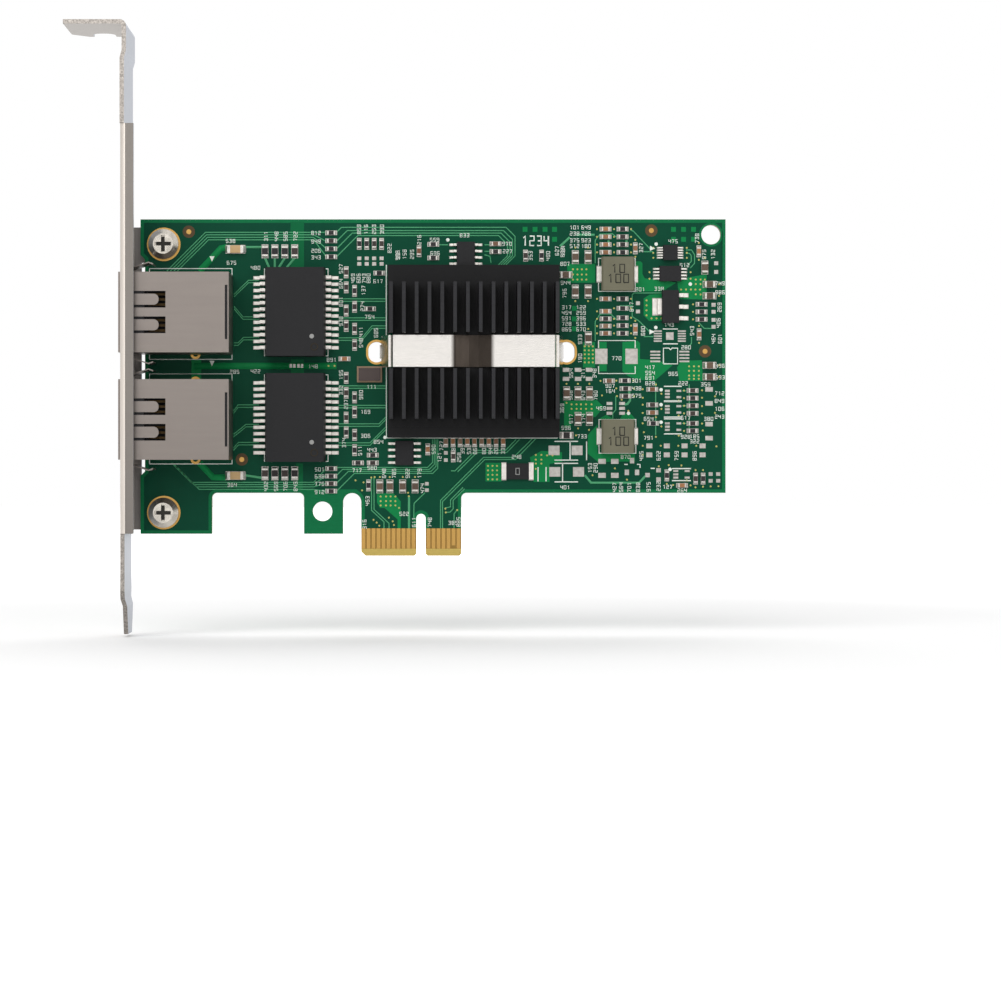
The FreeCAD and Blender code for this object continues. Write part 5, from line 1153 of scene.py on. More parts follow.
UPRIGHT_MARKS = (
    (28.3, 60.7), (28.7, 52.5), (31.8, 43.3), (31.8, 39.5), (44.0, 61.6), *grid((58.5, 59.8), (43.4,)),
    (55.2, 63.5), *grid((56.6, 58.4), (60.3,)), (59.7, 49.7), (59.5, 46.6), (54.2, 45), (44.4, 45),
    (42.1, 49.8), *grid((30, 32.4, 34.7), (36.5,)), *grid((44.05, 47.5, 51.1, 54.7), (20,)),
    *grid((33.8, 34.9), (17.6,)), *grid((38.7, 40.0, 41.65, 43.4), (13.7,)), (45.5, 13.8), (47.5, 13.9),
    (28.2, 29.5), *grid((29.9, 32.4, 34.9), (32.1,)), *grid((30.0, 32.5), (27.4,)),
    *grid((-31.0, -28.9, -27.1, -25.1), (63.9,)), *grid((-12.4, -11.0, -9.4, -7.8), (65.3,)),
    *grid((-16,), (57.4, 54.4, 50.8, 46.9, 36.2, 33.1)), *grid((-13.6, -12.5, -11.4, -10.5), (55.5,)),
    (-11.5, 53.1), (-11.7, 49.9), *grid((-12.0,), (44.8, 42.6)), (-9.0, 44.6), (-6.3, 61.5), (-4.7, 60.1),
    (-0.35, 63.2), (21.9, 60.0), (25.4, 60.0), (27.2, 61), (28.4, 61), *grid((-4.6, -3.3, -1.8), (60.3,)),
    *grid((-31.0, -29.0, -27.1, -25.1), (13.9,)), (-12.0, 32.2), (-15.0, 30.3), (-15.4, 22.6),
    (-12.2, 21.0), *grid((-7.4, -5.4, -2.7, -0.3), (16.5,)), (-11.3, 6.3), (-10.7, 11.0), (2.5, 21.3),
    (4.1, 22), (6.5, 22), (3.7, 19.7), (7.6, 19.7),
    *grid((8.3, 9.6, 10.8, 12.6, 13.9, 15.0, 16.4), (21.3,)), (0.3, 13.5), (-1.4, 6.7), (1.75, 6.7),
    (7.5, 6.8),
)
# A digit's pitch as a share of its height, and its width as a share of its pitch
DIGIT_STEP = 0.75
DIGIT_WIDTH = 0.6
MARK_HEIGHT = 0.68
MARK_SPACING = 0.68
# Each running number is the one before it and a step more, kept within a range
MARK_STEP = 137
MARK_RANGE = 880
# Strokes of the digits, one wide and two high
DIGITS = {
    "0": [[(0, 0), (1, 0), (1, 2), (0, 2), (0, 0)]],
    "1": [[(0.6, 0), (0.6, 2), (0.2, 1.6)]],
    "2": [[(0, 2), (1, 2), (1, 1), (0, 1), (0, 0), (1, 0)]],
    "3": [[(0, 2), (1, 2), (1, 0), (0, 0)], [(0.2, 1), (1, 1)]],
    "4": [[(0, 2), (0, 1), (1, 1)], [(1, 2), (1, 0)]],
    "5": [[(1, 2), (0, 2), (0, 1), (1, 1), (1, 0), (0, 0)]],
    "6": [[(1, 2), (0, 2), (0, 0), (1, 0), (1, 1), (0, 1)]],
    "7": [[(0, 2), (1, 2), (0.4, 0)]],
    "8": [[(0, 0), (1, 0), (1, 2), (0, 2), (0, 0)], [(0, 1), (1, 1)]],
    "9": [[(1, 1), (0, 1), (0, 2), (1, 2), (1, 0), (0, 0)]],
}


def number_paths(number, x, z, height, step=None, upright=False, way=1):
    """Strokes of a plain number centred on a place; upright reads from the foot up."""
    half = height / 2
    step = step or height * DIGIT_STEP
    wide = step * DIGIT_WIDTH
    digits = str(number)
    start = -(step * (len(digits) - 1) + wide) / 2
    paths = []
    for place, digit in enumerate(digits):
        for stroke in DIGITS[digit]:
            points = [(start + place * step + a * wide, b * half - half) for a, b in stroke]
            paths.append([(x - b * way, z + a) if upright else (x + a * way, z + b)
                          for a, b in points])
    return paths


def mark_paths(level, upright, first):
    """A running plain number at each place."""
    paths = []
    for index, (x, z) in enumerate((*level, *upright)):
        number = first + index * MARK_STEP % MARK_RANGE
        paths += number_paths(number, x, z, MARK_HEIGHT, MARK_SPACING, index >= len(level))
    return paths


# Artwork of the solder side

BACK_SQUARES = (
    *grid((58.5, 56.6), (57.5, 44.5)), *grid((40.5, 38.5, 36.5), (52.4,)),
    *grid((53.4, 51.4, 49.4, 47.4), (51.4, 49.5)), (57.5, 49.5), (55.5, 49.5), (53.4, 47.5), (51.4, 47.5),
    *grid((32.5, 30.5, 28.5, 26.5, 24.5), (49.5, 47.5)), *grid((38.5, 36.5, 34.5), (47.5,)),
    *grid((30.5, 28.5, 26.5, 24.5), (45.5,)), *grid((34.5, 32.5), (43.5,)),
    *grid((58.5, 56.5, 54.4), (41.5,)), *grid((43.4, 41.4, 39.4, 37.5), (41.5, 39.5, 37.5, 35.5)),
    *grid((56.5, 54.4), (39.5,)), (58.5, 37.5), *grid((50.4,), (37.5, 35.5)), (24.5, 35.5), (42.4, 33.5),
    (40.5, 33.5), *grid((28.5, 26.5, 24.5), (33.5, 31.5)), (53.4, 30.5), (49.4, 30.5),
    *grid((-18.9, -20.9, -22.9), [59.4 - 2 * i for i in range(23)]), *grid((4.4, 2.4, 0.4), (55.3, 53.4)),
    *grid([29.5 - 2 * i for i in range(8)], (26.5, 24.6)),
    *grid((39.4, 37.4, 35.4, 33.4, 31.4), (24.6, 22.6)), *grid((33.5, 31.5), (20.6,)),
    *grid([32.4 - 2 * i for i in range(7)], (16.8, 14.8)),
    *grid((-9.6, -11.6), (46.3, 44.3, 34.3, 32.3, 30.3, 24.3)), *grid((9.5, 7.5, 5.5), (26.5, 24.6)),
    *grid((58.6, 56.6), (17.5, 15.5)),
)
BACK_FINGER_POUR = [
    (-2.3, 5.5), (-2.3, 10.9), (-3.8, 12.3), (-8.3, 12.3), (-8.3, 9.7), (-5.6, 9.2), (-4.2, 7.6),
    (-4.2, 5.5),
]
BACK_POURS = (box_loop(47.9, 39.0, 51.9, 45.9), BACK_FINGER_POUR, *squares(BACK_SQUARES))
BACK_JACK_PLANE = [
    (-26.7, 13.4), (-26.7, 66.5), (-55.3, 66.5), (-55.3, 60.0), (-54.5, 59.2), (-54.5, 17.0), (-55.3, 16.2),
    (-55.3, 5.2), (-42.6, 5.2), (-42.6, 12.0), (-41.2, 13.4),
]
UPPER_CLEARANCE = [
    (-43.0, 53.6), (-43.0, 44.2), (-41.0, 42.2), (-38.6, 42.2), (-35.2, 46.6), (-32.9, 50.2), (-32.9, 51.8),
    (-34.6, 52.2), (-35.4, 51.0), (-36.2, 49.2), (-38.0, 47.4), (-38.0, 52.0), (-39.8, 53.6),
]
LOWER_CLEARANCE = [
    (-43.0, 32.6), (-43.0, 23.2), (-41.0, 21.2), (-38.6, 21.2), (-35.9, 24.6), (-35.9, 31.2), (-33.0, 31.5),
    (-33.0, 33.3), (-36.6, 33.3), (-38.0, 31.4), (-39.8, 32.6),
]
CONTROLLER_VIAS = grid([22.5 - i for i in range(23)], [52.2 - i for i in range(20)])
BACK_VIAS = (
    *grid((33.8, 32.9, 32.0), (41.4, 40.3, 39.3, 38.3)), *grid((55.3, 54.5, 53.7), (37.7, 36.6, 35.1)),
    *grid((14.6, 13.8, 12.9), (17.8, 16.7, 15.5)), *grid((33.0, 31.6, 30.2, 28.8), (31.2, 30.2)),
    *grid((-7.9, -6.9, -5.9, -5.0), (11.8, 10.9, 10.0)),
    *grid((29.5, 28.0, 26.5, 25.0, 23.5), (19.5, 18.5)), *grid((16.5, 14.5, 12.5, 10.5), (23.1,)),
    *grid((-6.4, -7.5, -10.1, -12.9), (15.9,)), *grid((44.4,), (52.0, 51.0, 50.0, 49.0)),
    *grid((57.9,), (44.5, 42.6, 36.9, 31.2, 28.9, 21.0)),
    *grid((52.2, 48.9, 46.6), (34.4, 31.6, 29.2, 27.8)), *grid((38.0, 34.9, 30.4), (52.2, 37.2)),
    *grid((43.8, 41.4), (34.0, 32.2, 30.1, 24.0)), *grid((-31.5, -33.8), (51.1, 32.4)),
)
BACK_FIDUCIALS = ((41.9, 49.92), (44.5, 15.84), (-41.35, 61.7), (-44.0, 13.06))
BACK_PRINT = (
    [(25.9, 36.9), (25.9, 45.1), (23.2, 45.1), (23.2, 36.9), (25.9, 36.9)],
    [(11.4, 36.9), (11.4, 43.9), (9.55, 43.9), (9.55, 36.9), (11.4, 36.9)],
)
LABEL_NUMBER = 12345
BAR_WIDTHS = (0.2, 0.2, 0.35, 0.5)
BAR_GAPS = (0.2, 0.3, 0.5)
# Rows of bars, and then the numbers and their heights, as shares of a label's width and height
LABEL_ROWS = {
    "large_label": (((0.03, 0.36), (0.5, 0.76)), ((0.03, 0.48), (0.06, 0.3)),
                    ((0.46, 0.64, 0.12), (0.14, 0.4, 0.11), (0.2, 0.88, 0.12), (0.8, 0.2, 0.13))),
    "small_label": (((0.12, 0.88), (0.1, 0.5)), ((0.5, 0.74, 0.22),)),
}


def back_traces():
    """Seven traces beside the controller that turn to the contacts, and a few long ones."""
    paths = []
    for k in range(7):
        x = -2.4 - 0.5 * k
        paths.append([(x, 58.2 - 0.4 * k), (x, 27.6 + 0.2 * k), (x - 6.2, 21.4 + 0.2 * k),
                      (x - 6.2, 15.2 - 0.25 * k), (x - 2.6, 11.6 - 0.25 * k), (x - 2.6, 5.5)])
    paths += [
        [(55.9, 28.7), (54.2, 26.8), (43.2, 26.8), (38.6, 30.8), (38.6, 33.7)],
        [(44.0, 23.3), (35.7, 32.0)],
        [(55.9, 32.8), (47.3, 33.3), (47.3, 47.0), (44.0, 49.9), (44.0, 52.8)],
        [(46.0, 27.9), (46.0, 46.1)],
        [(41.9, 46.1), (39.4, 43.7), (35.7, 43.5)], [(2.4, 16.2), (-1.0, 19.6), (-2.0, 24.0)],
        [(6.6, 5.5), (6.6, 11.0), (5.4, 12.2), (5.4, 17.6)], [(3.6, 5.5), (3.6, 8.6), (5.0, 10.2)],
        [(-9.4, 54.0), (-12.0, 56.6), (-12.0, 59.0)], [(-14.2, 62.0), (-14.2, 52.0)],
        [(-14.2, 46.0), (-14.2, 36.0)], [(-14.2, 31.0), (-14.2, 21.0)],
    ]
    return paths


def label_shapes(node, seed):
    """Upright bars of random widths, and plain numbers, on a label."""
    low, high = (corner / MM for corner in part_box(node))
    chance = random.Random(seed)
    width = high.x - low.x
    height = high.z - low.z
    *rows, numbers = LABEL_ROWS[node]
    bars = []
    for (start, stop), (foot, top) in rows:
        place = high.x - start * width
        while place > high.x - stop * width:
            bar = chance.choice(BAR_WIDTHS)
            bars.append(box_loop(place - bar, low.z + foot * height, place, low.z + top * height))
            place -= bar + chance.choice(BAR_GAPS)
    paths = []
    for across, up, size in numbers:
        x, z = high.x - across * width, low.z + up * height
        paths += number_paths(LABEL_NUMBER, x, z, size * height, way=-1)
    return bars, paths


# Steps of the artwork

PLANE_INSET = 0.7
SAME_PLACE = 0.01
# Outlines of the board's holes are told apart by how many points they have
PIN_HOLE_POINTS = 4
LARGE_HOLE_POINTS = 41
SCREW_HOLE_POINTS = 42
CLIP_SLOT_POINTS = 44
SCREW_HOLES_LEFT_OF = -51.0
# Gaps that planes leave round holes, and the plated rims round them
PLANE_GAP = 0.45
JACK_PLANE_GAP = 0.75
LEG_GAP_RADIUS = 1.5
CLIP_RIM = 0.42
SCREW_RIM = 1.75
PAIR_GAP = 0.5
FINE_WIDTH = 0.2
BROAD_WIDTH = 0.45
BAND_WIDTH = 1.3
# Thicknesses of plated spots and pads
THIN_SPOT = 0.016
SPOT = 0.02
PLATED = 0.03
VIA_SIZE = 0.36
FIELD_VIA_SIZE = 0.5
LEG_RING_SIZE = 2.0
FIDUCIAL_SIZE = 1.0
FIDUCIAL_RING_SIZE = 2.5
JOINT_SIZE = 1.25
JOINT_HEIGHT = 0.32
# Where a small via may stand past the end of a chip, and the room that it needs
END_VIAS_FROM = 27.5
END_VIAS_TO = 59.6
END_VIAS_LONGEST_CHIP = 2.4
END_VIA_GAP = 0.9
END_VIA_ROOM = 0.35
END_VIA_SPACING = 0.8
# How much longer and wider a pad is than what stands on it
LEAD_PAD_END = 0.4
LEAD_PAD_SIDE = 0.08
CHIP_PAD_END = 0.75
CHIP_PAD_SIDE = 0.12


def plane_outline(loop):
    """The dark plane's outline: inside the board's, off the retention tab and the contacts."""
    points = []
    for x, z in grown(loop, -PLANE_INSET):
        if TAB_LEFT < x < TAB_RIGHT:
            z = max(z, TAB_TOP)
        elif TAB_RIGHT <= x < CONTACT_RIGHT:
            z = max(z, CONTACT_TOP)
        if not points or (Vector((x, z)) - Vector(points[-1])).length > SAME_PLACE:
            points.append((x, z))
    return points


class CARD_OT_planes(bpy.types.Operator):
    """Lay the dark planes and the pours on both faces"""
    bl_idname = "card.planes"
    bl_label = "Lay the planes"

    def execute(self, context):
        kit = Kit()
        for face, pours in ((kit.front, FRONT_POURS), (kit.back, BACK_POURS)):
            outer, *holes = face_loops(face)
            large = [loop for loop in holes if len(loop) >= LARGE_HOLE_POINTS]
            plane = plane_outline(outer)
            gaps = holes_in(plane, large, PLANE_GAP)
            draw_plates(kit, f"{face.name}_plane", face, "mask", [plane], 0, gaps)
            draw_plates(kit, f"{face.name}_pours", face, "pour", pours, PLANE)
        gaps = holes_in(BACK_JACK_PLANE, large, JACK_PLANE_GAP)
        gaps += [circle(x, z, LEG_GAP_RADIUS) for x, z in LEG_PLACES]
        gaps += [UPPER_CLEARANCE, LOWER_CLEARANCE]
        draw_plates(kit, "back_jack_plane", kit.back, "pour", [BACK_JACK_PLANE], PLANE, gaps)
        draw_plates(kit, "front_dim_bands", kit.front, "rim", FRONT_BANDS, PLANE)
        kit.clear()
        return {"FINISHED"}


class CARD_OT_traces(bpy.types.Operator):
    """Lay the traces under the solder mask"""
    bl_idname = "card.traces"
    bl_label = "Lay the traces"

    def execute(self, context):
        kit = Kit()
        fine = lamp_lines() + lower_lamp_lines() + list(FINE_TRACES)
        for path in (*JACK_PAIRS, *SINK_PAIRS):
            fine += paired(path, PAIR_GAP)
        draw_lines(kit, "front_fine_traces", kit.front, "trace", fine, FINE_WIDTH, PLANE)
        draw_lines(kit, "front_broad_traces", kit.front, "trace", BROAD_TRACES, BROAD_WIDTH, PLANE)
        draw_lines(kit, "front_bands", kit.front, "pour", BANDS, BAND_WIDTH, PLANE)
        draw_lines(kit, "back_fine_traces", kit.back, "trace", back_traces(), FINE_WIDTH, PLANE)
        kit.clear()
        return {"FINISHED"}


CAP_NODE = "large_capacitor_caps"
LARGE_CAPACITORS = "large_capacitor_bodies"
CAP_TOUCH = 0.05
FILM_LEFT_OF = -35.0
NODES_WITH_END_VIAS = ("small_resistors", "small_capacitors", "large_resistors", LARGE_CAPACITORS)
CHIP_KINDS = (
    ("small_resistors", "resistor_body", "front"), ("large_resistors", "resistor_body", "front"),
    ("small_capacitors", "capacitor_body", "front"), (LARGE_CAPACITORS, "large_body", "front"),
    ("back_capacitors", "capacitor_body", "back"),
)
LEAD_NODES = (
    "upper_magnetics_leads", "lower_magnetics_leads", "upper_memory_leads", "lower_memory_leads",
    "regulator_leads", "driver_leads", "transistor_leads", "upper_inductor_terminals",
    "lower_inductor_terminals", "sense_resistor_terminals",
)


def chip_boxes(node):
    """Boxes of a node's chips; a body with its own end caps takes them in."""
    boxes = islands(node)
    if node != LARGE_CAPACITORS:
        return boxes
    caps = islands(CAP_NODE)
    whole = []
    for low, high in boxes:
        reach_low = Vector(low)
        reach_high = Vector(high)
        for cap_low, cap_high in caps:
            gap = max(low.x - cap_high.x, cap_low.x - high.x, low.z - cap_high.z, cap_low.z - high.z)
            if gap < CAP_TOUCH:
                reach_low = Vector(map(min, reach_low, cap_low))
                reach_high = Vector(map(max, reach_high, cap_high))
        whole.append((reach_low, reach_high))
    return whole


def chip_place(low, high):
    """Place, turn, length, width and height of a chip from its box."""
    middle = (low + high) / 2
    across = high.x - low.x
    up = high.z - low.z
    turn = 0 if across >= up else 90
    return (middle.x, middle.z, turn, max(across, up), min(across, up), high.y - low.y)


def spots(places, size, height):
    """The same unturned copy at each place."""
    return [(x, z, 0, size, size, height) for x, z in places]


def draw_vias(kit, face, vias):
    rings = spots(vias, VIA_SIZE, PLATED)
    draw_copies(kit, f"{face.name}_via_rings", face, "via", "ring", rings, PLANE)
    centres = spots(vias, VIA_SIZE / 2, THIN_SPOT)
    draw_copies(kit, f"{face.name}_via_centres", face, "gold", "disc", centres, PLANE)


def end_vias():
    """A small via past an end of each chip on the board's right part, where there is room."""
    boxes = [box for node in NODES_WITH_END_VIAS for box in chip_boxes(node)]
    boxes += [box for node in LEAD_NODES for box in islands(node)]
    taken = list(FRONT_VIAS) + [place for places, _, _ in FRONT_PADS for place in places]
    room = END_VIA_ROOM
    found = []
    for low, high in boxes:
        x, z, turn, long, _, _ = chip_place(low, high)
        if x < END_VIAS_FROM or long > END_VIAS_LONGEST_CHIP:
            continue
        reach = long / 2 + END_VIA_GAP
        for way in (-1, 1):
            a, b = (x + way * reach, z) if turn == 0 else (x, z + way * reach)
            near = any(one.x - room < a < two.x + room and one.z - room < b < two.z + room
                       for one, two in boxes)
            crowded = any(abs(a - c) < END_VIA_SPACING and abs(b - d) < END_VIA_SPACING
                          for c, d in taken + found)
            if not near and not crowded and a < END_VIAS_TO:
                found.append((a, b))
    return found


def lead_pads():
    """A pad under each lead, a little larger than the lead."""
    places = []
    for node in LEAD_NODES:
        for low, high in islands(node):
            middle = (low + high) / 2
            across = high.x - low.x
            up = high.z - low.z
            more = (LEAD_PAD_END, LEAD_PAD_SIDE) if across > up else (LEAD_PAD_SIDE, LEAD_PAD_END)
            places.append((middle.x, middle.z, 0, across + more[0], up + more[1], PLATED))
    return places


class CARD_OT_plating(bpy.types.Operator):
    """Set the vias, rings, bare pads and fiducials"""
    bl_idname = "card.plating"
    bl_label = "Set the plating"

    def execute(self, context):
        kit = Kit()
        draw_vias(kit, kit.front, [*FRONT_VIAS, *end_vias()])
        draw_vias(kit, kit.back, BACK_VIAS)
        field = spots(CONTROLLER_VIAS, FIELD_VIA_SIZE, SPOT)
        draw_copies(kit, "back_via_field", kit.back, "trace", "ring", field, PLANE)
        bare = [(x, z, 0, width, height, PLATED) for places, width, height in FRONT_PADS for x, z in places]
        draw_copies(kit, "front_bare_pads", kit.front, "solder", "slab", bare, PLANE)
        draw_copies(kit, "front_lead_pads", kit.front, "solder", "slab", lead_pads(), PLANE)
        for face, marks in ((kit.front, FRONT_FIDUCIALS), (kit.back, BACK_FIDUCIALS)):
            for label, finish, source, places in (
                ("fiducial_rings", "keepout", "disc", spots(marks, FIDUCIAL_RING_SIZE, THIN_SPOT)),
                ("fiducials", "gold", "disc", spots(marks, FIDUCIAL_SIZE, PLATED)),
                ("leg_rings", "gold", "ring", spots(LEG_PLACES, LEG_RING_SIZE, PLATED)),
            ):
                draw_copies(kit, f"{face.name}_{label}", face, finish, source, places, PLANE)
            holes = face_loops(face)[1:]
            slots = [loop for loop in holes if len(loop) == CLIP_SLOT_POINTS]
            screws = [loop for loop in holes if len(loop) == SCREW_HOLE_POINTS
                      and middle_of(loop)[0] < SCREW_HOLES_LEFT_OF]
            for label, loops, rim in (("clip_rings", slots, CLIP_RIM), ("screw_rings", screws, SCREW_RIM)):
                rims = [grown(loop, rim) for loop in loops]
                draw_plates(kit, f"{face.name}_{label}", face, "gold", rims, PLANE, loops, PLATED)
        pins = [middle_of(loop) for loop in face_loops(kit.back)[1:] if len(loop) == PIN_HOLE_POINTS]
        joints = spots(pins, JOINT_SIZE, JOINT_HEIGHT)
        draw_copies(kit, "back_solder_joints", kit.back, "solder", "cone", joints)
        kit.clear()
        return {"FINISHED"}


class CARD_OT_chips(bpy.types.Operator):
    """Build each chip capacitor and resistor from its block"""
    bl_idname = "card.chips"
    bl_label = "Build the chip parts"

    def execute(self, context):
        kit = Kit()
        for seed, (node, finish, side) in enumerate(CHIP_KINDS, 3):
            face = kit.front if side == "front" else kit.back
            places = [chip_place(low, high) for low, high in chip_boxes(node)]
            film = [place for place in places if node == LARGE_CAPACITORS and place[0] < FILM_LEFT_OF]
            if film:
                draw_copies(kit, "film_capacitor_bodies", face, "film", "chip_body", film)
            pads = [(x, z, turn, long + CHIP_PAD_END, wide + CHIP_PAD_SIDE, PLATED)
                    for x, z, turn, long, wide, _ in places]
            draw_copies(kit, f"{node}_pads", face, "solder", "slab", pads, PLANE)
            rest = [place for place in places if place not in film]
            body = draw_copies(kit, f"{node}_bodies", face, finish, "chip_body", rest, 0, seed)
            caps = draw_copies(kit, f"{node}_ends", face, "cap", "chip_caps", places)
            draw_copies(kit, f"{node}_joints", face, "tin", "chip_joints", places)
            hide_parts(node)
            if node == LARGE_CAPACITORS:
                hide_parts(CAP_NODE)
        kit.clear()
        return {"FINISHED"}


# Thicknesses, sizes and strokes of what is printed
INK_THICKNESS = 0.01
LABEL_INK = 0.008
DOT_SIZE = 0.7
NUMBER_STROKE = 0.14
LABEL_STROKE = 0.2
FIRST_FRONT_NUMBER = 101
LARGE_NUMBER = 1234
LARGE_NUMBER_PLACE = (22.9, 63.0)
LARGE_NUMBER_HEIGHT = 1.9
LARGE_NUMBER_STROKE = 0.3
# Rows of numbers on a package: their pitch, a digit's pitch and the stroke, as shares of the height
ROW_PITCH = 1.2
PACKAGE_STEP = 0.95
PACKAGE_STROKE = 0.15
# Numbers beside the capacitors of the solder side, and the room that one needs
FIRST_BACK_NUMBER = 301
BACK_NUMBER_HEIGHT = 0.8
BACK_NUMBER_STROKE = 0.15
BACK_NUMBER_GAP = 0.85
BACK_NUMBER_ROOM = (1.1, 1.0)


def print_packages(kit):
    """Plain numbers on the inductors and the sense resistor."""
    for node, numbers, height in PACKAGE_NUMBERS:
        low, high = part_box(node)
        middle = (low + high) / 2 / MM
        paths = []
        for row, number in enumerate(numbers):
            z = middle.z + ((len(numbers) - 1) / 2 - row) * height * ROW_PITCH
            paths += number_paths(number, middle.x, z, height, height * PACKAGE_STEP)
        finish = "ink" if "inductor" in node else "mark"
        draw_lines(kit, f"{node}_number", kit.front, finish, paths, height * PACKAGE_STROKE,
                   kit.front.height_of(low.y), INK_THICKNESS)


def print_magnetics(kit):
    """A dark ring of painted shade and a printed dot on each magnetics module."""
    for node in ("upper_magnetics", "lower_magnetics"):
        low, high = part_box(node)
        top = kit.front.height_of(low.y)
        x, z = high.x / MM - PIN_MARK_INSET, low.z / MM + PIN_MARK_LIFT
        # Painted shade: a dark ring near the pin-one corner
        ring = [circle(x, z, PIN_SHADE_RING_RADIUS) + [(x + PIN_SHADE_RING_RADIUS, z)]]
        draw_lines(kit, f"{node}_ring", kit.front, "hole", ring, PRINT_WIDTH, top, INK_THICKNESS)
        dot = spots([(x - PIN_DOT_ASIDE, z + PIN_DOT_LIFT)], PIN_DOT_SIZE, SPOT)
        draw_copies(kit, f"{node}_dot", kit.front, "mark", "disc", dot, top)


def back_numbers():
    """A running plain number beside each capacitor of the solder side that has room for one."""
    paths = []
    parts = [chip_place(low, high) for low, high in islands("back_capacitors")]
    near_x, near_z = BACK_NUMBER_ROOM
    for number, (x, z, turn, _, wide, _) in enumerate(parts, FIRST_BACK_NUMBER):
        offset = wide / 2 + BACK_NUMBER_GAP
        place = (x + offset, z) if turn else (x, z + offset)
        others = [part[:2] for part in parts if part[:2] != (x, z)]
        if not any(abs(place[0] - a) < near_x and abs(place[1] - b) < near_z for a, b in others):
            paths += number_paths(number, *place, BACK_NUMBER_HEIGHT, upright=bool(turn), way=-1)
    return paths


class CARD_OT_print(bpy.types.Operator):
    """Print the frames, dots and plain numbers"""
    bl_idname = "card.print"
    bl_label = "Print the marks"

    def execute(self, context):
        kit = Kit()
        draw_lines(kit, "front_print", kit.front, "silk", FRONT_PRINT, PRINT_WIDTH, SURFACE)
        marks = mark_paths(LEVEL_MARKS, UPRIGHT_MARKS, FIRST_FRONT_NUMBER)
        draw_lines(kit, "front_numbers", kit.front, "silk", marks, NUMBER_STROKE, SURFACE)
        large = number_paths(LARGE_NUMBER, *LARGE_NUMBER_PLACE, LARGE_NUMBER_HEIGHT)
        draw_lines(kit, "front_large_number", kit.front, "silk", large, LARGE_NUMBER_STROKE, SURFACE)
        print_packages(kit)
        print_magnetics(kit)
        dots = spots(PRINT_DOTS, DOT_SIZE, SPOT)
        draw_copies(kit, "front_print_dots", kit.front, "silk", "disc", dots, SURFACE)
        triangles = [pointer(x, z, turn) for x, z, turn in PRINT_TRIANGLES]
        draw_plates(kit, "front_print_triangles", kit.front, "silk", triangles, SURFACE,
                    thickness=LINE_THICKNESS)
        draw_lines(kit, "back_print", kit.back, "silk", BACK_PRINT, PRINT_WIDTH, SURFACE)
        draw_lines(kit, "back_numbers", kit.back, "silk", back_numbers(), BACK_NUMBER_STROKE, SURFACE)
        for seed, node in enumerate(("large_label", "small_label"), 5):
            top = kit.back.height_of(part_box(node)[1].y)
            bars, numbers = label_shapes(node, seed)
            draw_plates(kit, f"{node}_bars", kit.back, "print_black", bars, top, thickness=LABEL_INK)
            draw_lines(kit, f"{node}_numbers", kit.back, "print_black", numbers, LABEL_STROKE, top,
                       LABEL_INK)
        kit.clear()
        return {"FINISHED"}


# Stage

FLOOR_REACH = 1.6
# The floor's glow rises from a share near the card to all of it, between two distances in metres
GLOW_FROM = 0.14
GLOW_TO = 0.42
GLOW_NEAR = 0.12
# Each light's name, the setting that holds its power, its size and its place
LIGHTS = (
    ("key_light", "key_power", 0.9, (-0.35, -0.75, 0.65)),
    ("fill_light", "fill_power", 0.9, (0.6, -0.7, 0.15)),
    ("top_light", "rim_power", 0.7, (0.05, 0.45, 0.6)),
)


def area_light(name, power, size, place, aim):
    data = bpy.data.lights.new(name, "AREA")
    data.energy = power
    data.size = size
    light = new_object(name, data)
    light.location = place
    light.rotation_euler = (aim - place).to_track_quat("-Z", "Y").to_euler()


def background_rays(tree):
    """A socket that is one for camera, mirror and clear rays."""
    path = tree.nodes.new("ShaderNodeLightPath")
    rays = path.outputs["Is Camera Ray"]
    for kind in ("Is Glossy Ray", "Is Transmission Ray"):
        either = tree.nodes.new("ShaderNodeMath")
        either.operation = "MAXIMUM"
        tree.links.new(rays, either.inputs[0])
        tree.links.new(path.outputs[kind], either.inputs[1])
        rays = either.outputs[0]
    return rays


def light_world(strength):
    """Even light, and a white that camera, mirror and clear rays see."""
    world = bpy.data.worlds.new("sky")
    bpy.context.scene.world = world
    world.use_nodes = True
    tree = world.node_tree
    background = tree.nodes["Background"]
    background.inputs["Color"].default_value = (1, 1, 1, 1)
    mix = tree.nodes.new("ShaderNodeMix")
    mix.inputs["A"].default_value = strength
    mix.inputs["B"].default_value = 1.0
    tree.links.new(background_rays(tree), mix.inputs["Factor"])
    tree.links.new(mix.outputs["Result"], background.inputs["Strength"])


def floor_finish(paper):
    """Paper that glows more the farther it lies from the card, for camera, mirror and clear rays."""
    finish = Finish("floor")
    finish.base(finish.mottle(finish.noise(6.0), paper, 0.985, 1.0))
    finish.set(Roughness=0.9, Specular_IOR_Level=0.0, Emission_Color=(1, 1, 1, 1))
    far = finish.add("ShaderNodeVectorMath", operation="LENGTH")
    finish.link(finish.coordinates, "Object", far, 0)
    rise = finish.map_range(far, "Value", From_Min=GLOW_FROM, From_Max=GLOW_TO, To_Min=GLOW_NEAR)
    rise.interpolation_type = "SMOOTHSTEP"
    glow = finish.calculate("MULTIPLY", rise, 0)
    finish.tree.links.new(background_rays(finish.tree), glow.inputs[1])
    finish.link(glow, 0, finish.shader, "Emission Strength")
    return finish.material


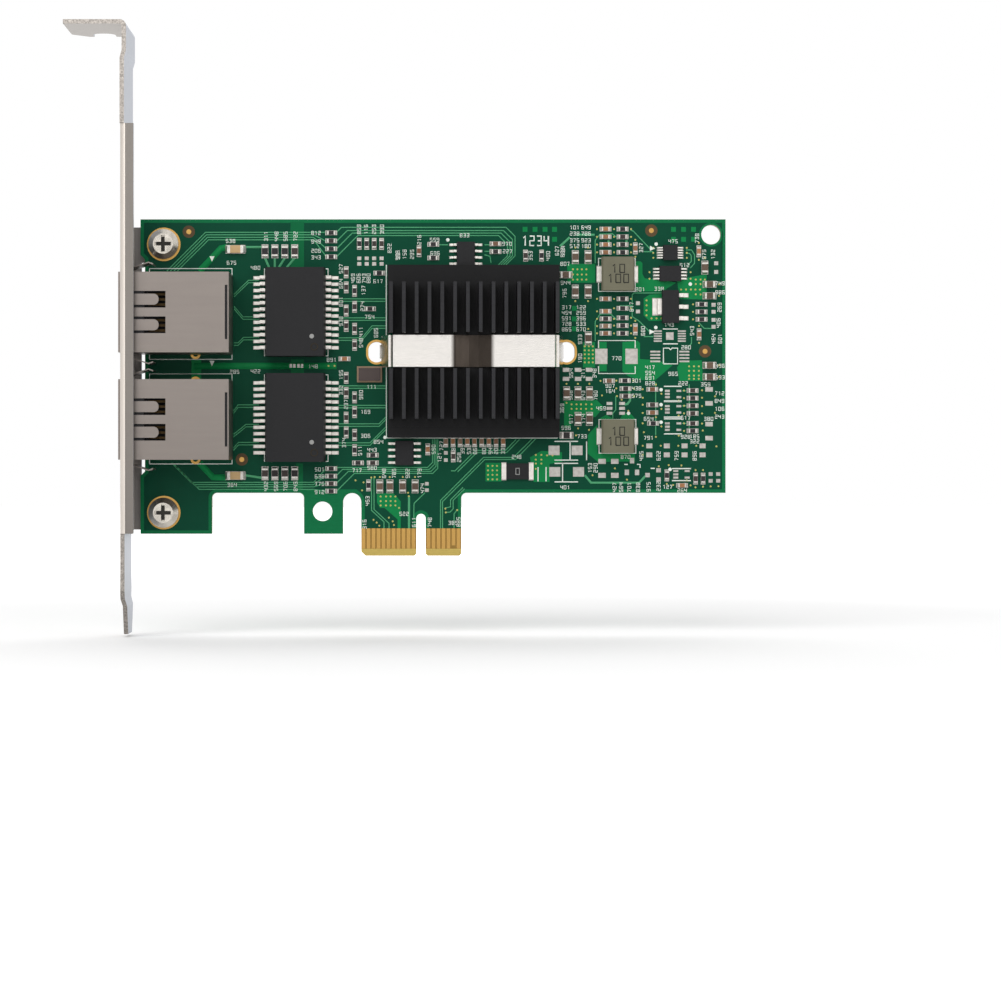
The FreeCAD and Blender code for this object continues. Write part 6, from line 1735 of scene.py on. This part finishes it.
class CARD_OT_stage(bpy.types.Operator):
    """Set up the floor, the lights and the camera"""
    bl_idname = "card.stage"
    bl_label = "Build the stage"

    def execute(self, context):
        stage = context.scene.card_stage
        low, high = (Vector(corner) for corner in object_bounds())
        middle = (low + high) / 2
        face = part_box("circuit_board")[0].y

        floor_z = low.z - stage.floor_drop
        mesh = bpy.data.meshes.new("floor")
        square = box_loop(-FLOOR_REACH, -FLOOR_REACH, FLOOR_REACH, FLOOR_REACH)
        corners = [(x, y, floor_z) for x, y in square]
        mesh.from_pydata(corners, [], [(0, 1, 2, 3)])
        mesh.materials.append(floor_finish(context.scene.card_colours.floor))
        floor = new_object("floor", mesh)

        for name, power, size, place in LIGHTS:
            area_light(name, getattr(stage, power), size, Vector(place), middle)
        light_world(stage.sky)

        data = bpy.data.cameras.new("photo_camera")
        data.sensor_width = 36
        data.lens = stage.focal
        data.shift_x = stage.shift_x
        data.shift_y = stage.shift_y
        camera = new_object("photo_camera", data)
        camera.location = (stage.centre_x, face - stage.distance, stage.centre_z)
        camera.rotation_euler = (math.radians(90), 0, 0)
        context.scene.camera = camera
        context.scene.view_settings.view_transform = "Standard"
        floor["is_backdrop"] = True
        return {"FINISHED"}


class CARD_PT_panel(bpy.types.Panel):
    """Buttons and settings of the card's looks"""
    bl_label = "Network card"
    bl_idname = "CARD_PT_panel"
    bl_space_type = "VIEW_3D"
    bl_region_type = "UI"
    bl_category = "Card"

    def draw(self, context):
        for step in STEPS:
            self.layout.operator(step.bl_idname)
        for group in (context.scene.card_colours, context.scene.card_stage):
            for name in group.__annotations__:
                self.layout.prop(group, name)


STEPS = (CARD_OT_finishes, CARD_OT_planes, CARD_OT_traces, CARD_OT_plating, CARD_OT_chips,
         CARD_OT_print, CARD_OT_stage)
CLASSES = (CardColours, CardStage, *STEPS, CARD_PT_panel)


def register():
    for cls in CLASSES:
        bpy.utils.register_class(cls)
    bpy.types.Scene.card_colours = PointerProperty(type=CardColours)
    bpy.types.Scene.card_stage = PointerProperty(type=CardStage)


def unregister():
    del bpy.types.Scene.card_stage
    del bpy.types.Scene.card_colours
    for cls in reversed(CLASSES):
        bpy.utils.unregister_class(cls)


def main():
    register()
    for step in STEPS:
        group, name = step.bl_idname.split(".")
        getattr(getattr(bpy.ops, group), name)()


if __name__ == "__main__":
    main()
